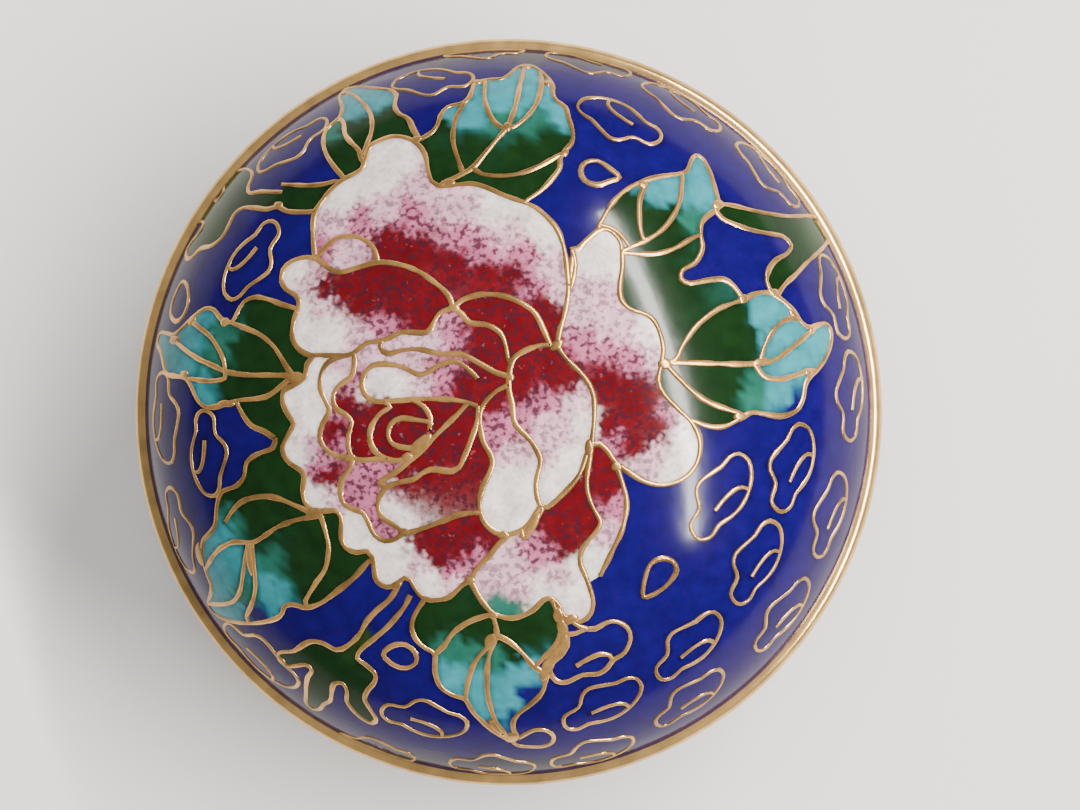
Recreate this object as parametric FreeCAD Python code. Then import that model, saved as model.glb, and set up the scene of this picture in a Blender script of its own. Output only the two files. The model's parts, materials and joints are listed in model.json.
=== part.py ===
"""Round cloisonne pill box: domed lift-off lid over a footed bowl.

Row frame, millimetres: the origin is under the middle of the foot ring, +Z up.
The lid is drawn from above with +X to the right and +Y away.
Copper shells carry brass wires standing on edge, with glass enamel between them.
"""
import FreeCAD, Part
import math
import os

V = FreeCAD.Vector

# ---------------------------------------------------------------- driving sizes
DIAMETER = 50.0            # over the two brass rims
LID_HEIGHT = 14.0          # parting plane to the crown
BASE_HEIGHT = 14.2         # floor to the parting plane
FOOT_RADIUS = 13.4         # outside of the foot ring where the enamel starts
FOOT_HEIGHT = 1.0          # floor to that edge
FOOT_WIDTH = 1.1           # width of the foot ring
RIM_HEIGHT = 1.6           # each brass rim
RIM_SHOW = 0.8             # how far each rim stands out past the enamel
RIM_BULGE = 0.2            # rounding of a rim's outside
ENAMEL = 0.8               # picture enamel and the wires' height
SHELL = 0.6                # copper
LINING = 0.4               # counter-enamel inside
FOOT_ENAMEL = 0.4          # under the bowl
CROWN_ANGLE = 29.0         # degrees, the flat crown arc ends here
EDGE_ANGLE = 70.0          # degrees, slope of the dome at its rim
BOWL_FOOT_ANGLE = 21.0     # degrees, slope of the bowl at the foot
COLLAR_WALL = 0.6          # upstanding collar in the base
COLLAR_RISE = 1.8          # above the parting plane
COLLAR_INSET = 2.4         # enamel edge to the collar's outside
WIRE = 0.32                # width of a cloison wire
ZONES = 5                  # short zones that make up the shoulder
WIRE_STEP = 1.3            # longest straight piece of a bent wire
BASE_ROWS = ((4.2, 11), (9.6, 15))    # bowl clouds: height up the wall, how many round
FIELDS = 10                # the ground enamel lies in this many fields
SPECK = 0.02               # plan pieces smaller than this are left out
BASE_CLOUD = 5.8           # length of a bowl cloud

FOOT_FLARE = 0.1           # the foot ring spreads this much at the floor
RIM_FALL_WIDE = 0.5        # share of the bulge that a rim falls back at its wide edge
RIM_FALL_NARROW = 1.6      # and at its narrow edge
CLOUD_MARGIN = 0.7         # lid clouds stay this far from the drawing's edge

# ---------------------------------------------------------------- working margins
PAST = 1.0                 # how far a cutting shape runs past what it cuts
PLAN_PAST = 0.1            # the lid's plan runs this far past the enamel's edge
LID_OVERRUN = 4.0          # degrees of shoulder made past the rim, then cut level
BOWL_OVERRUN = 5.0         # degrees of bowl wall made past the rim, then cut level
MEET = 0.02                # the ends of a wire nearer than this are one point
ON_CELL = 0.001            # tolerance when a cell is looked up by its point
FAN = 4                    # straight pieces along the outside of a field

# ---------------------------------------------------------------- clearances
LID_GAP = 0.05             # lid rim over base rim when shut
COLLAR_CLEAR = 0.10        # collar to the lid's rim, radial

# ---------------------------------------------------------------- drawing of the lid
# Points are millimetres along the lid's surface from the middle of the crown,
# (right, away), as if the dome were rolled out flat.
DRAWN_REACH = 28.83        # crown to enamel edge on the surface the drawing was made for
FLOWER_OUTLINE = {
    "top_a": [
        (-12.4, 10), (-12.65, 12), (-12.6, 13.1), (-12.1, 14), (-11.6, 14.65), (-10.85, 15.3),
        (-10.05, 15.7), (-9.5, 16.1), (-9.3, 17), (-9.15, 17.75), (-8.7, 18.1), (-7.6, 18.45),
        (-6.6, 18.25), (-5.95, 17.85), (-5.5, 17.35), (-5.15, 16.6), (-4.95, 15.6), (-4.7, 14.85),
        (-4.3, 14.55), (-3.6, 14.5), (-2.2, 14.6), (-1.2, 14.35), (0.15, 13.7), (1.75, 13.1),
        (2.4, 12.65), (2.95, 12.1), (3.5, 11.35), (3.9, 10.15), (4.1, 8.6), (4.15, 7.4), (3.95, 6),
        (3.6, 4.8), (3.45, 3.9)],
    "left_top": [
        (-14.7, 8.5), (-14.6, 9.2), (-14, 9.75), (-12.9, 9.95), (-12.1, 9.7), (-11.3, 9.1), (-10.5, 8.8),
        (-9.4, 9.05), (-8.05, 9.35), (-6.75, 9.2), (-5.4, 8.7), (-4.2, 7.85), (-3.4, 7.1), (-3.05, 6.25)],
    "left_side": [
        (-14.7, 8.5), (-14.3, 7.85), (-13.5, 7.35), (-13.3, 6.7), (-13.6, 5.8), (-13.7, 4.8),
        (-13.3, 3.95), (-12.5, 3.45), (-11.7, 3.4), (-10.9, 3.35), (-9.8, 3.35), (-9.2, 3.65),
        (-8.6, 4.1), (-7.9, 4.2), (-7.1, 4.4), (-6.3, 4.75), (-4.75, 4.7), (-4.3, 5.3), (-3.9, 5.95),
        (-3.05, 6.25)],
    "crescent_top": [
        (-3.05, 6.25), (-2.5, 6.75), (-1.3, 7.1), (0.1, 7), (1.3, 6.5), (2.1, 5.85), (2.6, 4.85), (3, 3.9)],
    "crescent_low": [
        (-3.05, 6.25), (-2.5, 5.85), (-2, 5.3), (-0.9, 5.15), (-0.1, 4.65), (0.25, 3.8), (0.4, 2.9)],
    "center_left": [
        (3.4, 3.85), (2.5, 3.9), (1.45, 3.55), (0.7, 3), (0.45, 2.05), (0.45, 1), (0.65, 0.2),
        (0.75, -0.8), (1.1, -1.35), (1.75, -2), (2.2, -2.7), (2.4, -3.3), (2.25, -4), (2.1, -4.8),
        (2.2, -5.6), (2.45, -6.2), (2.85, -6.2), (3.5, -5.65), (4.3, -4.85), (4.85, -4.1), (5.2, -3.1),
        (5.5, -2.3)],
    "center_right": [
        (3.45, 3.85), (4, 3.05), (5.05, 2), (5.65, 0.9), (5.75, -0.4), (5.6, -2.1)],
    "right_left": [
        (4.4, 10.1), (4.6, 9), (4.3, 7.6)],
    "right_a": [
        (4.3, 10.05), (4.8, 10.15), (5.5, 10.85), (6.3, 11.5), (7, 11.35), (7.55, 10.6), (7.65, 9.2),
        (7.45, 7.9), (7.5, 6.9), (8.1, 6.25), (9.2, 5.9), (9.8, 5.25), (10.2, 3.8), (10, 2.6),
        (9.85, 1.7), (10.2, 0.9), (11.15, -0.05), (12, -0.85), (12.55, -1.8), (12.6, -2.8),
        (12.25, -3.8), (11.4, -4.55), (10.2, -4.88), (9, -4.65), (8, -4.05), (7.1, -3.4), (6.7, -2.8),
        (6.1, -2.25), (5.6, -2.3)],
    "small_right": [
        (7.1, -3.4), (7.45, -4.4), (7.8, -5.6), (7.8, -6.7), (7.5, -7.9), (6.95, -9.1), (6.2, -10.7)],
    "small_gap": [
        (6.2, -10.7), (5.45, -11.15)],
    "lower_right": [
        (5.6, -2.3), (5.45, -3.3), (5.3, -4.4), (5.35, -5.3), (5.7, -6.25), (6.2, -7.15), (5.9, -7.8),
        (5.3, -8.5), (4.95, -9.2), (4.95, -9.9), (5.25, -10.6), (5.6, -11.6), (5.8, -12.5),
        (5.65, -13.25), (5.1, -13.75), (4.4, -13.7), (3.9, -13.3), (3.65, -12.7), (3.15, -12.15),
        (2.6, -12.25), (1.9, -12.95), (1, -13.4), (0.2, -13.45), (-0.6, -13.15), (-1.2, -12.5),
        (-1.6, -11.85), (-2.05, -10.95)],
    "lower_diag": [
        (-2.05, -10.9), (-1.5, -10), (-0.75, -9.25), (-0.35, -8.7), (0.3, -8.05)],
    "lower_tail": [
        (2.5, -6.35), (1.9, -7.3), (1.4, -8.2)],
    "lowleft_a": [
        (-12.1, 3.4), (-12.6, 2.8), (-12.75, 1.95), (-13.6, 1.45), (-14.25, 1.1), (-14.25, 0.3),
        (-13.85, -0.45), (-13.5, -1), (-13.8, -1.55), (-14.3, -2.45), (-14.2, -3.05), (-13.8, -3.55),
        (-13.1, -3.95), (-12.8, -4.4), (-12.95, -5.2), (-12.85, -6), (-12.3, -6.6), (-11.5, -6.6),
        (-10.8, -6.55), (-10.4, -6.9), (-10.35, -7.6), (-10.4, -8.4), (-10.1, -9), (-9.4, -9.25),
        (-8.7, -9.15), (-8.35, -9.5), (-8.25, -10.5), (-8.1, -11.15), (-7.5, -11.5), (-6.85, -11.3),
        (-6.3, -10.85), (-5.95, -10.95), (-5.5, -11.75), (-5, -12.2), (-4.3, -12.3), (-3.4, -12.05),
        (-2.6, -11.3), (-2.05, -10.9)],
}
FLOWER_INNER = {
    "curl": [
        (-12.1, 10), (-11.55, 10.65), (-10.8, 11.15), (-9.7, 11.2), (-8.8, 10.8), (-8.2, 10.1),
        (-8.05, 9.4)],
    "in_a": [
        (-7.6, 4.3), (-7.7, 3.8), (-7.2, 3.4), (-6.3, 3.6), (-5.2, 3.65), (-3.8, 3.35), (-2.5, 3.3),
        (-1.3, 2.7), (-0.4, 2.2), (0.45, 1.95)],
    "in_b": [
        (-1.5, 1.8), (-2.1, 2.4), (-2.95, 2.9), (-4, 2.6), (-5.05, 2.05), (-6.25, 2.55), (-7.4, 2.75),
        (-8.3, 2.6), (-8.85, 1.8), (-8.7, 0.9), (-8, 0.42), (-6.6, 0.45), (-4.8, 0.55), (-3.1, 0.5),
        (-2.1, 0.3), (-1.5, 0.1)],
    "in_c": [
        (0.45, 1.4), (-0.3, 1.05), (-0.9, 0.5), (-1.3, -0.1), (-1.35, -1), (-1.15, -2.1), (-0.7, -2.9),
        (-0.58, -3.5), (-0.85, -4.25), (-1.2, -4.95), (-1.4, -5.8), (-1.35, -6.6), (-1, -7.3),
        (-0.4, -7.8), (0.4, -7.95), (1.2, -7.65), (1.8, -7.1), (2.15, -6.5), (2.4, -6.1)],
    "in_d": [
        (-1.5, 0.1), (-1.5, -0.7), (-1.85, -1.85), (-2.25, -2.85), (-2.65, -3.7), (-3.1, -3.95),
        (-4.4, -3.84), (-5, -4.1), (-5.6, -4.5), (-6.4, -4.65), (-7.3, -5), (-7.8, -5.7), (-7.85, -6.5),
        (-7.4, -7.1), (-6.7, -7.5), (-6.15, -7.85), (-5.2, -7.65), (-4, -7.2), (-2.6, -6.65),
        (-1.4, -6.55)],
    "in_e": [
        (-2.1, 0.3), (-2.95, -0.6), (-4.1, -1.7), (-5, -2.65), (-5.9, -3.4), (-6.7, -4.05), (-7.75, -4.7)],
    "spiral_out": [
        (-5.6, 0.5), (-4.9, 0.1), (-4.45, -0.6), (-4.5, -1.4)],
    "spiral_left": [
        (-7.4, 0.4), (-7, 0.05), (-7.6, -0.3), (-8.2, -1.1), (-8.35, -2), (-8, -2.75), (-7.3, -3.2),
        (-6.5, -3.3), (-5.8, -3.1)],
    "spiral_in": [
        (-4.5, -0.9), (-5.35, -0.75), (-6.3, -0.65), (-6.95, -1), (-7.15, -1.75), (-6.8, -2.3),
        (-6, -2.5), (-5.1, -2.5)],
    "lobe_one": [
        (-9.4, 3.4), (-9.4, 2.6), (-9.6, 1.95), (-10.3, 1.5), (-10.75, 0.9), (-10.6, 0), (-9.95, -0.4),
        (-9.5, -0.9), (-9.75, -1.7), (-9.75, -2.5), (-9.45, -3.15), (-8.7, -3.3), (-7.9, -3.2),
        (-7.2, -3.2)],
    "lobe_two": [
        (-10.2, 3.3), (-11.1, 2.95), (-11.6, 2.2), (-11.65, 1.2), (-11.2, 0.3), (-11.05, -0.3),
        (-11.5, -1), (-11.7, -1.8), (-11.4, -2.45), (-10.8, -2.95), (-10.1, -3.1), (-9.5, -3.15)],
    "lobe_low": [
        (-9.5, -3.2), (-9.65, -3.8), (-10.2, -4.5), (-10.35, -5.3), (-10.15, -6.1), (-9.5, -6.45),
        (-8.85, -6.7), (-8.5, -7.4), (-8.15, -8.1), (-7.5, -8.45), (-6.8, -8.3), (-6.15, -7.85)],
}
LEAF_UPPER = {
    "l1_left": [
        (-5.65, 18.05), (-4.85, 18.6), (-4.5, 19.2), (-4.35, 20), (-3.9, 20.75), (-2.9, 21.05),
        (-2.45, 21.6), (-2.3, 22.4), (-2.1, 23.1), (-1.2, 23.42), (-0.2, 23.55), (0.3, 24.1),
        (0.8, 24.95), (1.45, 25.35), (2.1, 25.1), (2.8, 24.15), (3.3, 23), (3.35, 21.9), (3.6, 21.25),
        (4.15, 20.7), (4.35, 19.7), (4.6, 18.5), (4.5, 17.7), (3.95, 16.95), (3.7, 16.4), (3.7, 15.8),
        (3.2, 15), (2.5, 14.15), (1.6, 13.45)],
    "l1_vein_a": [
        (-2.7, 15.55), (-3, 16.4), (-3.35, 17.6), (-3.4, 18.9), (-3.2, 20), (-2.75, 21)],
    "l1_vein_b": [
        (-3.9, 14.7), (-3, 15.15), (-2, 15.8), (-1.2, 16.85), (-0.4, 17.95), (0.2, 18.8)],
    "l1_tip_a": [
        (0.1, 18.7), (-0.6, 19.2), (-1.1, 20.2), (-1.4, 21.5), (-1.45, 23.3)],
    "l1_tip_b": [
        (0.2, 18.8), (0.5, 19.7), (0.8, 21), (1, 22.5), (1.2, 24), (1.35, 25.2)],
    "l1_tip_c": [
        (0.2, 18.75), (0.9, 19.05), (1.7, 20), (2.25, 21.2), (2.5, 22.4), (2.6, 23.6), (2.5, 24.4)],
    "l1_low": [
        (-2, 15.75), (-1.4, 15.3), (-0.3, 15.15), (1, 15.3), (2.2, 15.8), (3.1, 16.35), (3.8, 16.8)],
    "l2_a": [
        (6.1, 11.55), (6.4, 12.15), (7.05, 13.3), (7.9, 14.25), (9.1, 15), (10.4, 15.5), (11.8, 15.85),
        (12.4, 16.2), (12.75, 17), (13.2, 17.6), (13.7, 17.4), (14.1, 16.4), (14.3, 15.2), (14.5, 13.8),
        (14.2, 13.35), (13.6, 12.9), (13.1, 12.3), (13, 11.4), (13.05, 10.5), (12.5, 9.5), (11.6, 8.95),
        (11.5, 8.35), (12.1, 8.1), (13.3, 8.35), (14.4, 8.5), (15.1, 8.1), (15.8, 7.2)],
    "l2_left": [
        (9.3, 14.7), (8.95, 13.8), (8.85, 12.6), (8.9, 11.5), (9.1, 10.85)],
    "l2_mid": [
        (12, 15.85), (11.85, 14.8), (11.6, 13.6), (11.1, 12.6), (10.3, 11.6), (9.3, 10.9), (8.1, 10.3),
        (7.65, 10.1)],
    "l2_low": [
        (13, 11.5), (12.3, 11.15), (11.3, 10.5), (10.2, 10.05), (9, 9.9), (7.75, 9.95)],
    "l2_root": [
        (6.45, 11.75), (7.2, 11.5), (7.85, 10.8), (8.15, 10.3)],
    "l7_left": [
        (-10.7, 15.4), (-11.5, 16.4), (-12.2, 17.4), (-12.7, 18.5), (-12.85, 19.6), (-12.5, 20.45),
        (-12, 21), (-11.95, 21.9), (-12.35, 23), (-12.85, 24.1), (-12.8, 25.2), (-12.9, 26.2)],
    "l7_vein_a": [
        (-12, 21), (-11.5, 20.4), (-11.15, 19.2), (-10.6, 18.4), (-9.9, 17.6), (-9.6, 16.8)],
    "l7_vein_b": [
        (-12.75, 24.6), (-11.9, 24.1), (-10.9, 23), (-10, 21.7), (-9.4, 20.6), (-9.15, 19.3),
        (-9.3, 18.2), (-9.55, 17.3)],
    "l7_right": [
        (-12.6, 25.4), (-11.6, 25), (-10.4, 24.3), (-9.2, 23.65), (-8.3, 23.2), (-7.8, 22.5),
        (-7.75, 21.3), (-7.3, 20.45), (-6.6, 19.9), (-6.1, 18.8), (-5.7, 18.1)],
}
LEAF_SIDE = {
    "l3_top": [
        (10.2, 2.7), (11, 3.1), (11.5, 4.05), (12.45, 5.3), (13.7, 6.3), (14.6, 6.75), (15.8, 7.2),
        (16.7, 7.65), (17.8, 7.8), (18.8, 7.35), (19.7, 6.65), (20.3, 5.9), (21, 5.65), (21.7, 5.85),
        (22.5, 6.1), (23.05, 5.8), (23.1, 5), (22.5, 3.8), (21.6, 2.85), (20.75, 2.2), (20.35, 1.6),
        (20.15, 0.7), (19.6, -0.1), (18.4, -0.48), (17.2, -0.35), (16.2, -0.25), (15.4, -0.65),
        (14.3, -1.15), (13.2, -1.15), (12, -0.75)],
    "l3_mid": [
        (10.2, 2.9), (12.5, 2.9), (15, 2.88), (16.4, 2.95), (17.8, 3.2), (19, 3.9), (20.2, 4.75),
        (21.2, 5.5)],
    "l3_loop": [
        (16.9, 3.15), (17.2, 4.1), (17.9, 5.2), (18.8, 5.95), (19.7, 6.2), (20.2, 6)],
    "l3_branch": [
        (16.5, 2.9), (17.1, 2.15), (18.2, 1.95), (19.3, 2.2), (20.6, 2.6), (21.2, 2.6)],
    "l3_low": [
        (10.3, 2.8), (11, 2.1), (12.2, 1), (13.3, 0.35), (14.5, -0.05), (15.4, -0.35)],
    "l5_top": [
        (-14.85, -1.9), (-15, -2.55), (-16.2, -3), (-17, -3.55), (-17.25, -4.5), (-17.9, -5.15),
        (-19.1, -5.6), (-19.6, -6.6), (-19.9, -7.9), (-20.6, -8.65), (-21.4, -9.3), (-21.75, -10.4),
        (-21.7, -11.6), (-21.45, -12.8), (-22, -13.8), (-22.7, -14.7), (-22.2, -15.4), (-20.7, -15.55),
        (-18.6, -15.27), (-16.6, -14.73), (-15.3, -14.1), (-14.8, -13.3), (-14.1, -13.1),
        (-13.2, -13.25), (-12.1, -12.85), (-10.96, -12), (-9.6, -10.9), (-8.6, -9.8)],
    "l5_vein_a": [
        (-18.95, -7.65), (-18.2, -6.75), (-17.3, -6.1), (-16, -5.78), (-14.8, -5.85), (-13.4, -6.35),
        (-12.4, -6.7)],
    "l5_vein_b": [
        (-12, -6.95), (-13.5, -7.25), (-14.9, -7.8), (-16, -8.5), (-16.9, -8.95), (-18.3, -9),
        (-19.5, -9.5), (-20.5, -10.25), (-21.6, -11.4)],
    "l5_vein_c": [
        (-17.2, -9), (-17.6, -10.2), (-18, -11.5), (-18.5, -12.7), (-19.4, -13.65), (-20.8, -14.2),
        (-22.6, -14.65)],
    "l5_vein_d": [
        (-16.9, -9), (-16.9, -10.6), (-17, -12.1), (-17.5, -13.4), (-18.35, -14.7)],
    "l5_vein_e": [
        (-11.8, -6.8), (-11.5, -7.8), (-11.3, -9), (-11.6, -10.4), (-12.3, -11.4), (-13.2, -12.75)],
    "l6_low": [
        (-14.85, -1.95), (-15.6, -1.5), (-16.6, -1.1), (-17.3, -0.3), (-17.75, 0.5)],
    "l6_top": [
        (-13.35, 6.45), (-14.55, 6.85), (-15.6, 7.25), (-16.6, 7.45), (-17.4, 7.2), (-17.9, 6.5),
        (-18.3, 5.85), (-19.1, 6.05), (-20, 6.85), (-20.9, 7), (-22, 6.5), (-23.1, 5.9), (-24.1, 5.5),
        (-25.3, 5.75), (-26.4, 5.95), (-26.8, 5.1), (-25.9, 4.4), (-25.3, 3.5), (-24.7, 2.65),
        (-23.5, 2.4), (-22.3, 2.2), (-21.7, 1.6), (-21.1, 0.7), (-20.3, 0.15), (-19.1, 0.2),
        (-17.7, 0.55), (-16, 0.68), (-15.2, 0.9), (-14.2, 1.6), (-13.6, 2.1)],
    "l6_up": [
        (-18.3, 5.8), (-17, 5.3), (-16, 4.85), (-15, 4.05), (-14.3, 3.1), (-13.6, 2.2), (-12.8, 2.1)],
    "l6_mid": [
        (-24.3, 5.3), (-22.7, 4.3), (-21, 3.45), (-19.5, 2.88), (-18.6, 2.5), (-17, 2.25), (-15, 2.18),
        (-13.3, 2.1)],
    "l6_loop": [
        (-22.1, 6.3), (-21.3, 5.75), (-20.2, 5.05), (-19.3, 4.1), (-18.8, 3.2), (-18.7, 2.6)],
    "l6_under": [
        (-21.9, 2.15), (-20.9, 2), (-19.7, 1.92), (-18.7, 2.05)],
}
LEAF_LOWER = {
    "l4_left": [
        (-5, -12.2), (-5.7, -13.3), (-5.95, -14.2), (-5.7, -15.1), (-5.1, -15.7), (-4.5, -16.1),
        (-4.55, -17.3), (-4.25, -18.5), (-3.5, -19.15), (-2.6, -19.5), (-2.15, -20.5), (-1.5, -21.4),
        (-0.7, -22.4), (0.2, -23.15), (0.6, -23.3), (0.95, -23), (0.65, -22.3), (0.6, -21.4),
        (0.95, -20.7), (1.8, -19.85), (2.5, -19), (2.75, -18.1), (2.6, -17.4), (2.1, -17)],
    "l4_vein_a": [
        (-4.45, -16.05), (-3.9, -15.5), (-3.2, -14.5), (-2.2, -13.75), (-1.2, -13.35), (-0.6, -13.2)],
    "l4_stem": [
        (-0.65, -13.3), (-0.45, -14), (-0.4, -14.75)],
    "l4_vein_b": [
        (-0.4, -14.75), (-1, -15.5), (-1.8, -16.5), (-2.25, -17.6), (-2.5, -18.8), (-2.6, -19.5)],
    "l4_vein_c": [
        (-0.6, -15.1), (-0.95, -16.2), (-1.1, -17.6), (-1.08, -19), (-0.9, -20.2), (-0.55, -21.5),
        (0.1, -22.7)],
    "l4_vein_c2": [
        (-0.95, -21.3), (-0.7, -22), (-0.3, -22.5)],
    "l4_right": [
        (-0.35, -14.7), (0.5, -15.2), (1.3, -16), (2, -16.95), (2.6, -17.4)],
    "l4_band_in": [
        (3.15, -12.3), (3.5, -13.2), (3.75, -14.2), (3.5, -15.2), (2.8, -16.1), (2.1, -16.9)],
    "l4_band_out": [
        (3.95, -13.4), (4, -14.3), (4.15, -15.2), (3.9, -16), (3.2, -16.7), (2.95, -17.4), (2.75, -18.1)],
    "cloud_join": [
        (4.1, -14.65), (4.7, -14.6), (5.4, -14.3), (6, -14.3), (6.7, -13.9), (7.4, -13.85), (8.1, -14.3),
        (8.35, -15.1), (8, -16.1), (7.25, -16.6), (6.9, -17.15), (6.3, -17.6), (5.2, -17.65),
        (4.2, -18.15), (3.5, -18.05), (3.1, -17.4), (3.1, -16.8)],
    "cloud_join_hook": [
        (4.8, -16.95), (5.5, -16.5), (6.3, -16.15), (7, -16.25), (7.2, -16.6)],
    "hole_side": [
        (4.5, -13.75), (4.9, -14.1), (5.4, -14.25)],
    "loop": [
        (0.9, -23.1), (1.4, -22.65), (2.1, -22.2), (2.9, -22.3), (3.4, -22.9), (3.35, -23.6),
        (2.7, -24.05), (1.6, -24), (0.9, -23.85), (0.5, -23.35)],
}
STEM = {
    "right_up": [
        (14.5, 13.85), (15.6, 13.88), (17.2, 13.76), (18.8, 13.82), (20.4, 14.04), (22, 14.55),
        (23.6, 15.15), (25.2, 15.65)],
    "right_low": [
        (14.2, 13.3), (14.6, 12.8), (15.4, 12.5), (16.8, 12.2), (18.4, 12.15), (19.5, 12.15),
        (20.15, 11.6), (19.6, 10.85), (18.6, 10.25), (17.9, 9.5), (17.62, 8.6), (17.9, 7.85)],
    "right_side": [
        (18.3, 7.6), (19.1, 8.5), (20.2, 9.4), (21.4, 10.45), (22.7, 11.4), (23.9, 12.3), (24.9, 13.1),
        (26.4, 14)],
    "left_up": [
        (-11.2, 15.3), (-12.2, 15.15), (-13.4, 15.2), (-14.6, 15.45), (-15.5, 15.65)],
    "left_up_b": [
        (-15.35, 15), (-16.3, 15.2), (-17.3, 15.45), (-18.4, 15.6), (-18.75, 16.2), (-18.7, 17.2),
        (-19.2, 18), (-20.3, 18.7), (-21.5, 19.15), (-22.5, 19.9)],
    "left_gap": [
        (-15.5, 15.65), (-15.35, 15)],
    "left_low": [
        (-12.6, 13.15), (-13.6, 13.2), (-14.7, 13.4), (-15.5, 13.85), (-16.4, 13.8), (-17.4, 14.1),
        (-18.6, 14.38), (-19.4, 14.1), (-19.75, 13.2), (-20.2, 12.3), (-21.2, 11.85), (-22.5, 11.95),
        (-23.4, 11.5), (-24.4, 11.6), (-24.85, 12.3), (-24.4, 13.1), (-23.3, 13.8), (-23.4, 14.5),
        (-24.3, 15), (-25.6, 15.5)],
    "left_notch": [
        (-23.7, 19), (-22.8, 18.1), (-22, 16.9), (-22.6, 16.4), (-23.7, 17.15), (-24.5, 17.65)],
    "tail_a": [
        (-6.75, -11.4), (-7.3, -12.3), (-8.3, -13.2), (-9, -14), (-9.6, -15), (-10.5, -15.85),
        (-11.3, -16.2), (-12.2, -15.8), (-13.1, -15.75), (-13.9, -16.2), (-14.7, -16.8), (-15.8, -17.1),
        (-16.2, -17.5), (-15.7, -18.3), (-14.9, -18.15), (-13.9, -17.8), (-13.5, -18.2), (-14, -18.95),
        (-14.4, -19.9), (-14.7, -20.9), (-15.1, -22), (-14.6, -22.6), (-13.9, -22.3), (-13.3, -21.5),
        (-12.6, -20.9), (-12.25, -19.9), (-11.9, -19.1), (-11.2, -18.95), (-11, -19.6), (-11.2, -20.6),
        (-10.8, -21.6), (-10.2, -22.3), (-9.6, -22.55), (-9.2, -22), (-9.5, -21), (-9.75, -20.1),
        (-9.4, -19.3), (-8.8, -18.5), (-8.7, -17.8), (-9.3, -17.15), (-9.85, -16.7), (-9.5, -16),
        (-8.6, -15.2), (-7.7, -14.4), (-6.9, -13.5), (-6.3, -12.7), (-5.95, -12)],
    "tail_gap": [
        (-5.95, -12), (-6.1, -11)],
}
DROP = {
    "drop_a": [
        (7.6, 15.25), (6.9, 15.95), (6.2, 16.4), (5.4, 16.25), (5.05, 15.6), (5.3, 14.9), (6.1, 14.6),
        (7, 14.95), (7.6, 15.25)],
    "drop_b": [
        (9.1, -12.2), (9.15, -11), (9.5, -10), (10.2, -9.65), (10.95, -9.85), (11.25, -10.5),
        (10.8, -11.3), (10, -11.95), (9.1, -12.2)],
    "drop_c": [
        (-8, -16.3), (-7.3, -15.6), (-6.4, -15.5), (-5.8, -16.05), (-5.8, -16.8), (-6.5, -17.22),
        (-7.3, -17.05), (-8, -16.3)],
    "drop_d": [
        (-24.1, 9.6), (-23.4, 9.2), (-22.9, 8.4), (-22.8, 7.4), (-23.3, 6.65), (-24.1, 6.48), (-24.9, 7),
        (-25.1, 7.9), (-24.8, 8.8), (-24.1, 9.6)],
}
# each cloud: its small end, its big end
CLOUDS = [
    ((12.7, -8.45), (15.6, -2.95)), ((18.6, -6.87), (20.1, -0.95)), ((15.9, -13.17), (18, -7.45)),
    ((22.8, -10.67), (23.9, -4.4)), ((10.7, -18.4), (14.3, -13.65)), ((11.3, -23.25), (15.4, -18.5)),
    ((18.5, -17.6), (21.8, -12.15)), ((4.3, -22.1), (9.15, -18.3)), ((3.5, -26.9), (9.5, -24.3)),
    ((-4.3, -26.9), (2.25, -27)), ((-8.65, -21.3), (-2.5, -21.7)), ((-13.4, -26.2), (-7, -26.7)),
    ((-21.5, -16.5), (-15, -19.9)), ((-24.8, -5.7), (-23.7, -12.3)), ((-25.6, 2.75), (-24.3, -3.9)),
    ((-20.6, -0.1), (-19.9, -5.98)), ((-15.7, 12.75), (-18.7, 7.45)), ((-13.1, 21.2), (-18.3, 17.6)),
    ((-2.3, 23.7), (-8.4, 23.9)), ((1.3, 28.6), (-5, 28.2)), ((9.6, 26.2), (2.95, 27.5)),
    ((10.75, 18.7), (5, 21.1)), ((16.1, 21.2), (10.2, 24.6)), ((22.3, 15.7), (17.2, 20)),
    ((25, 5.3), (23.5, 11.65)), ((25.1, -2.2), (25.3, 4.4)),
]
CLOUD = [
    (0, -0.04), (0.09, -0.16), (0.28, -0.16), (0.41, -0.27), (0.52, -0.29), (0.66, -0.22), (0.78, -0.15),
    (0.9, -0.12), (0.985, -0.04), (0.97, 0.09), (0.88, 0.18), (0.76, 0.235), (0.62, 0.26), (0.48, 0.25),
    (0.35, 0.2), (0.22, 0.125), (0.1, 0.115), (0.02, 0.06), (0, -0.04)]
CLOUD_HOOK = [(0.34, 0.01), (0.48, 0.04), (0.61, 0.09), (0.69, 0.16), (0.7, 0.245)]

WIRE_SETS = [
    ("flower_outline_wires", FLOWER_OUTLINE),
    ("flower_inner_wires", FLOWER_INNER),
    ("leaf_upper_wires", LEAF_UPPER),
    ("leaf_side_wires", LEAF_SIDE),
    ("leaf_lower_wires", LEAF_LOWER),
    ("stem_wires", STEM),
    ("drop_wires", DROP),
]

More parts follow.
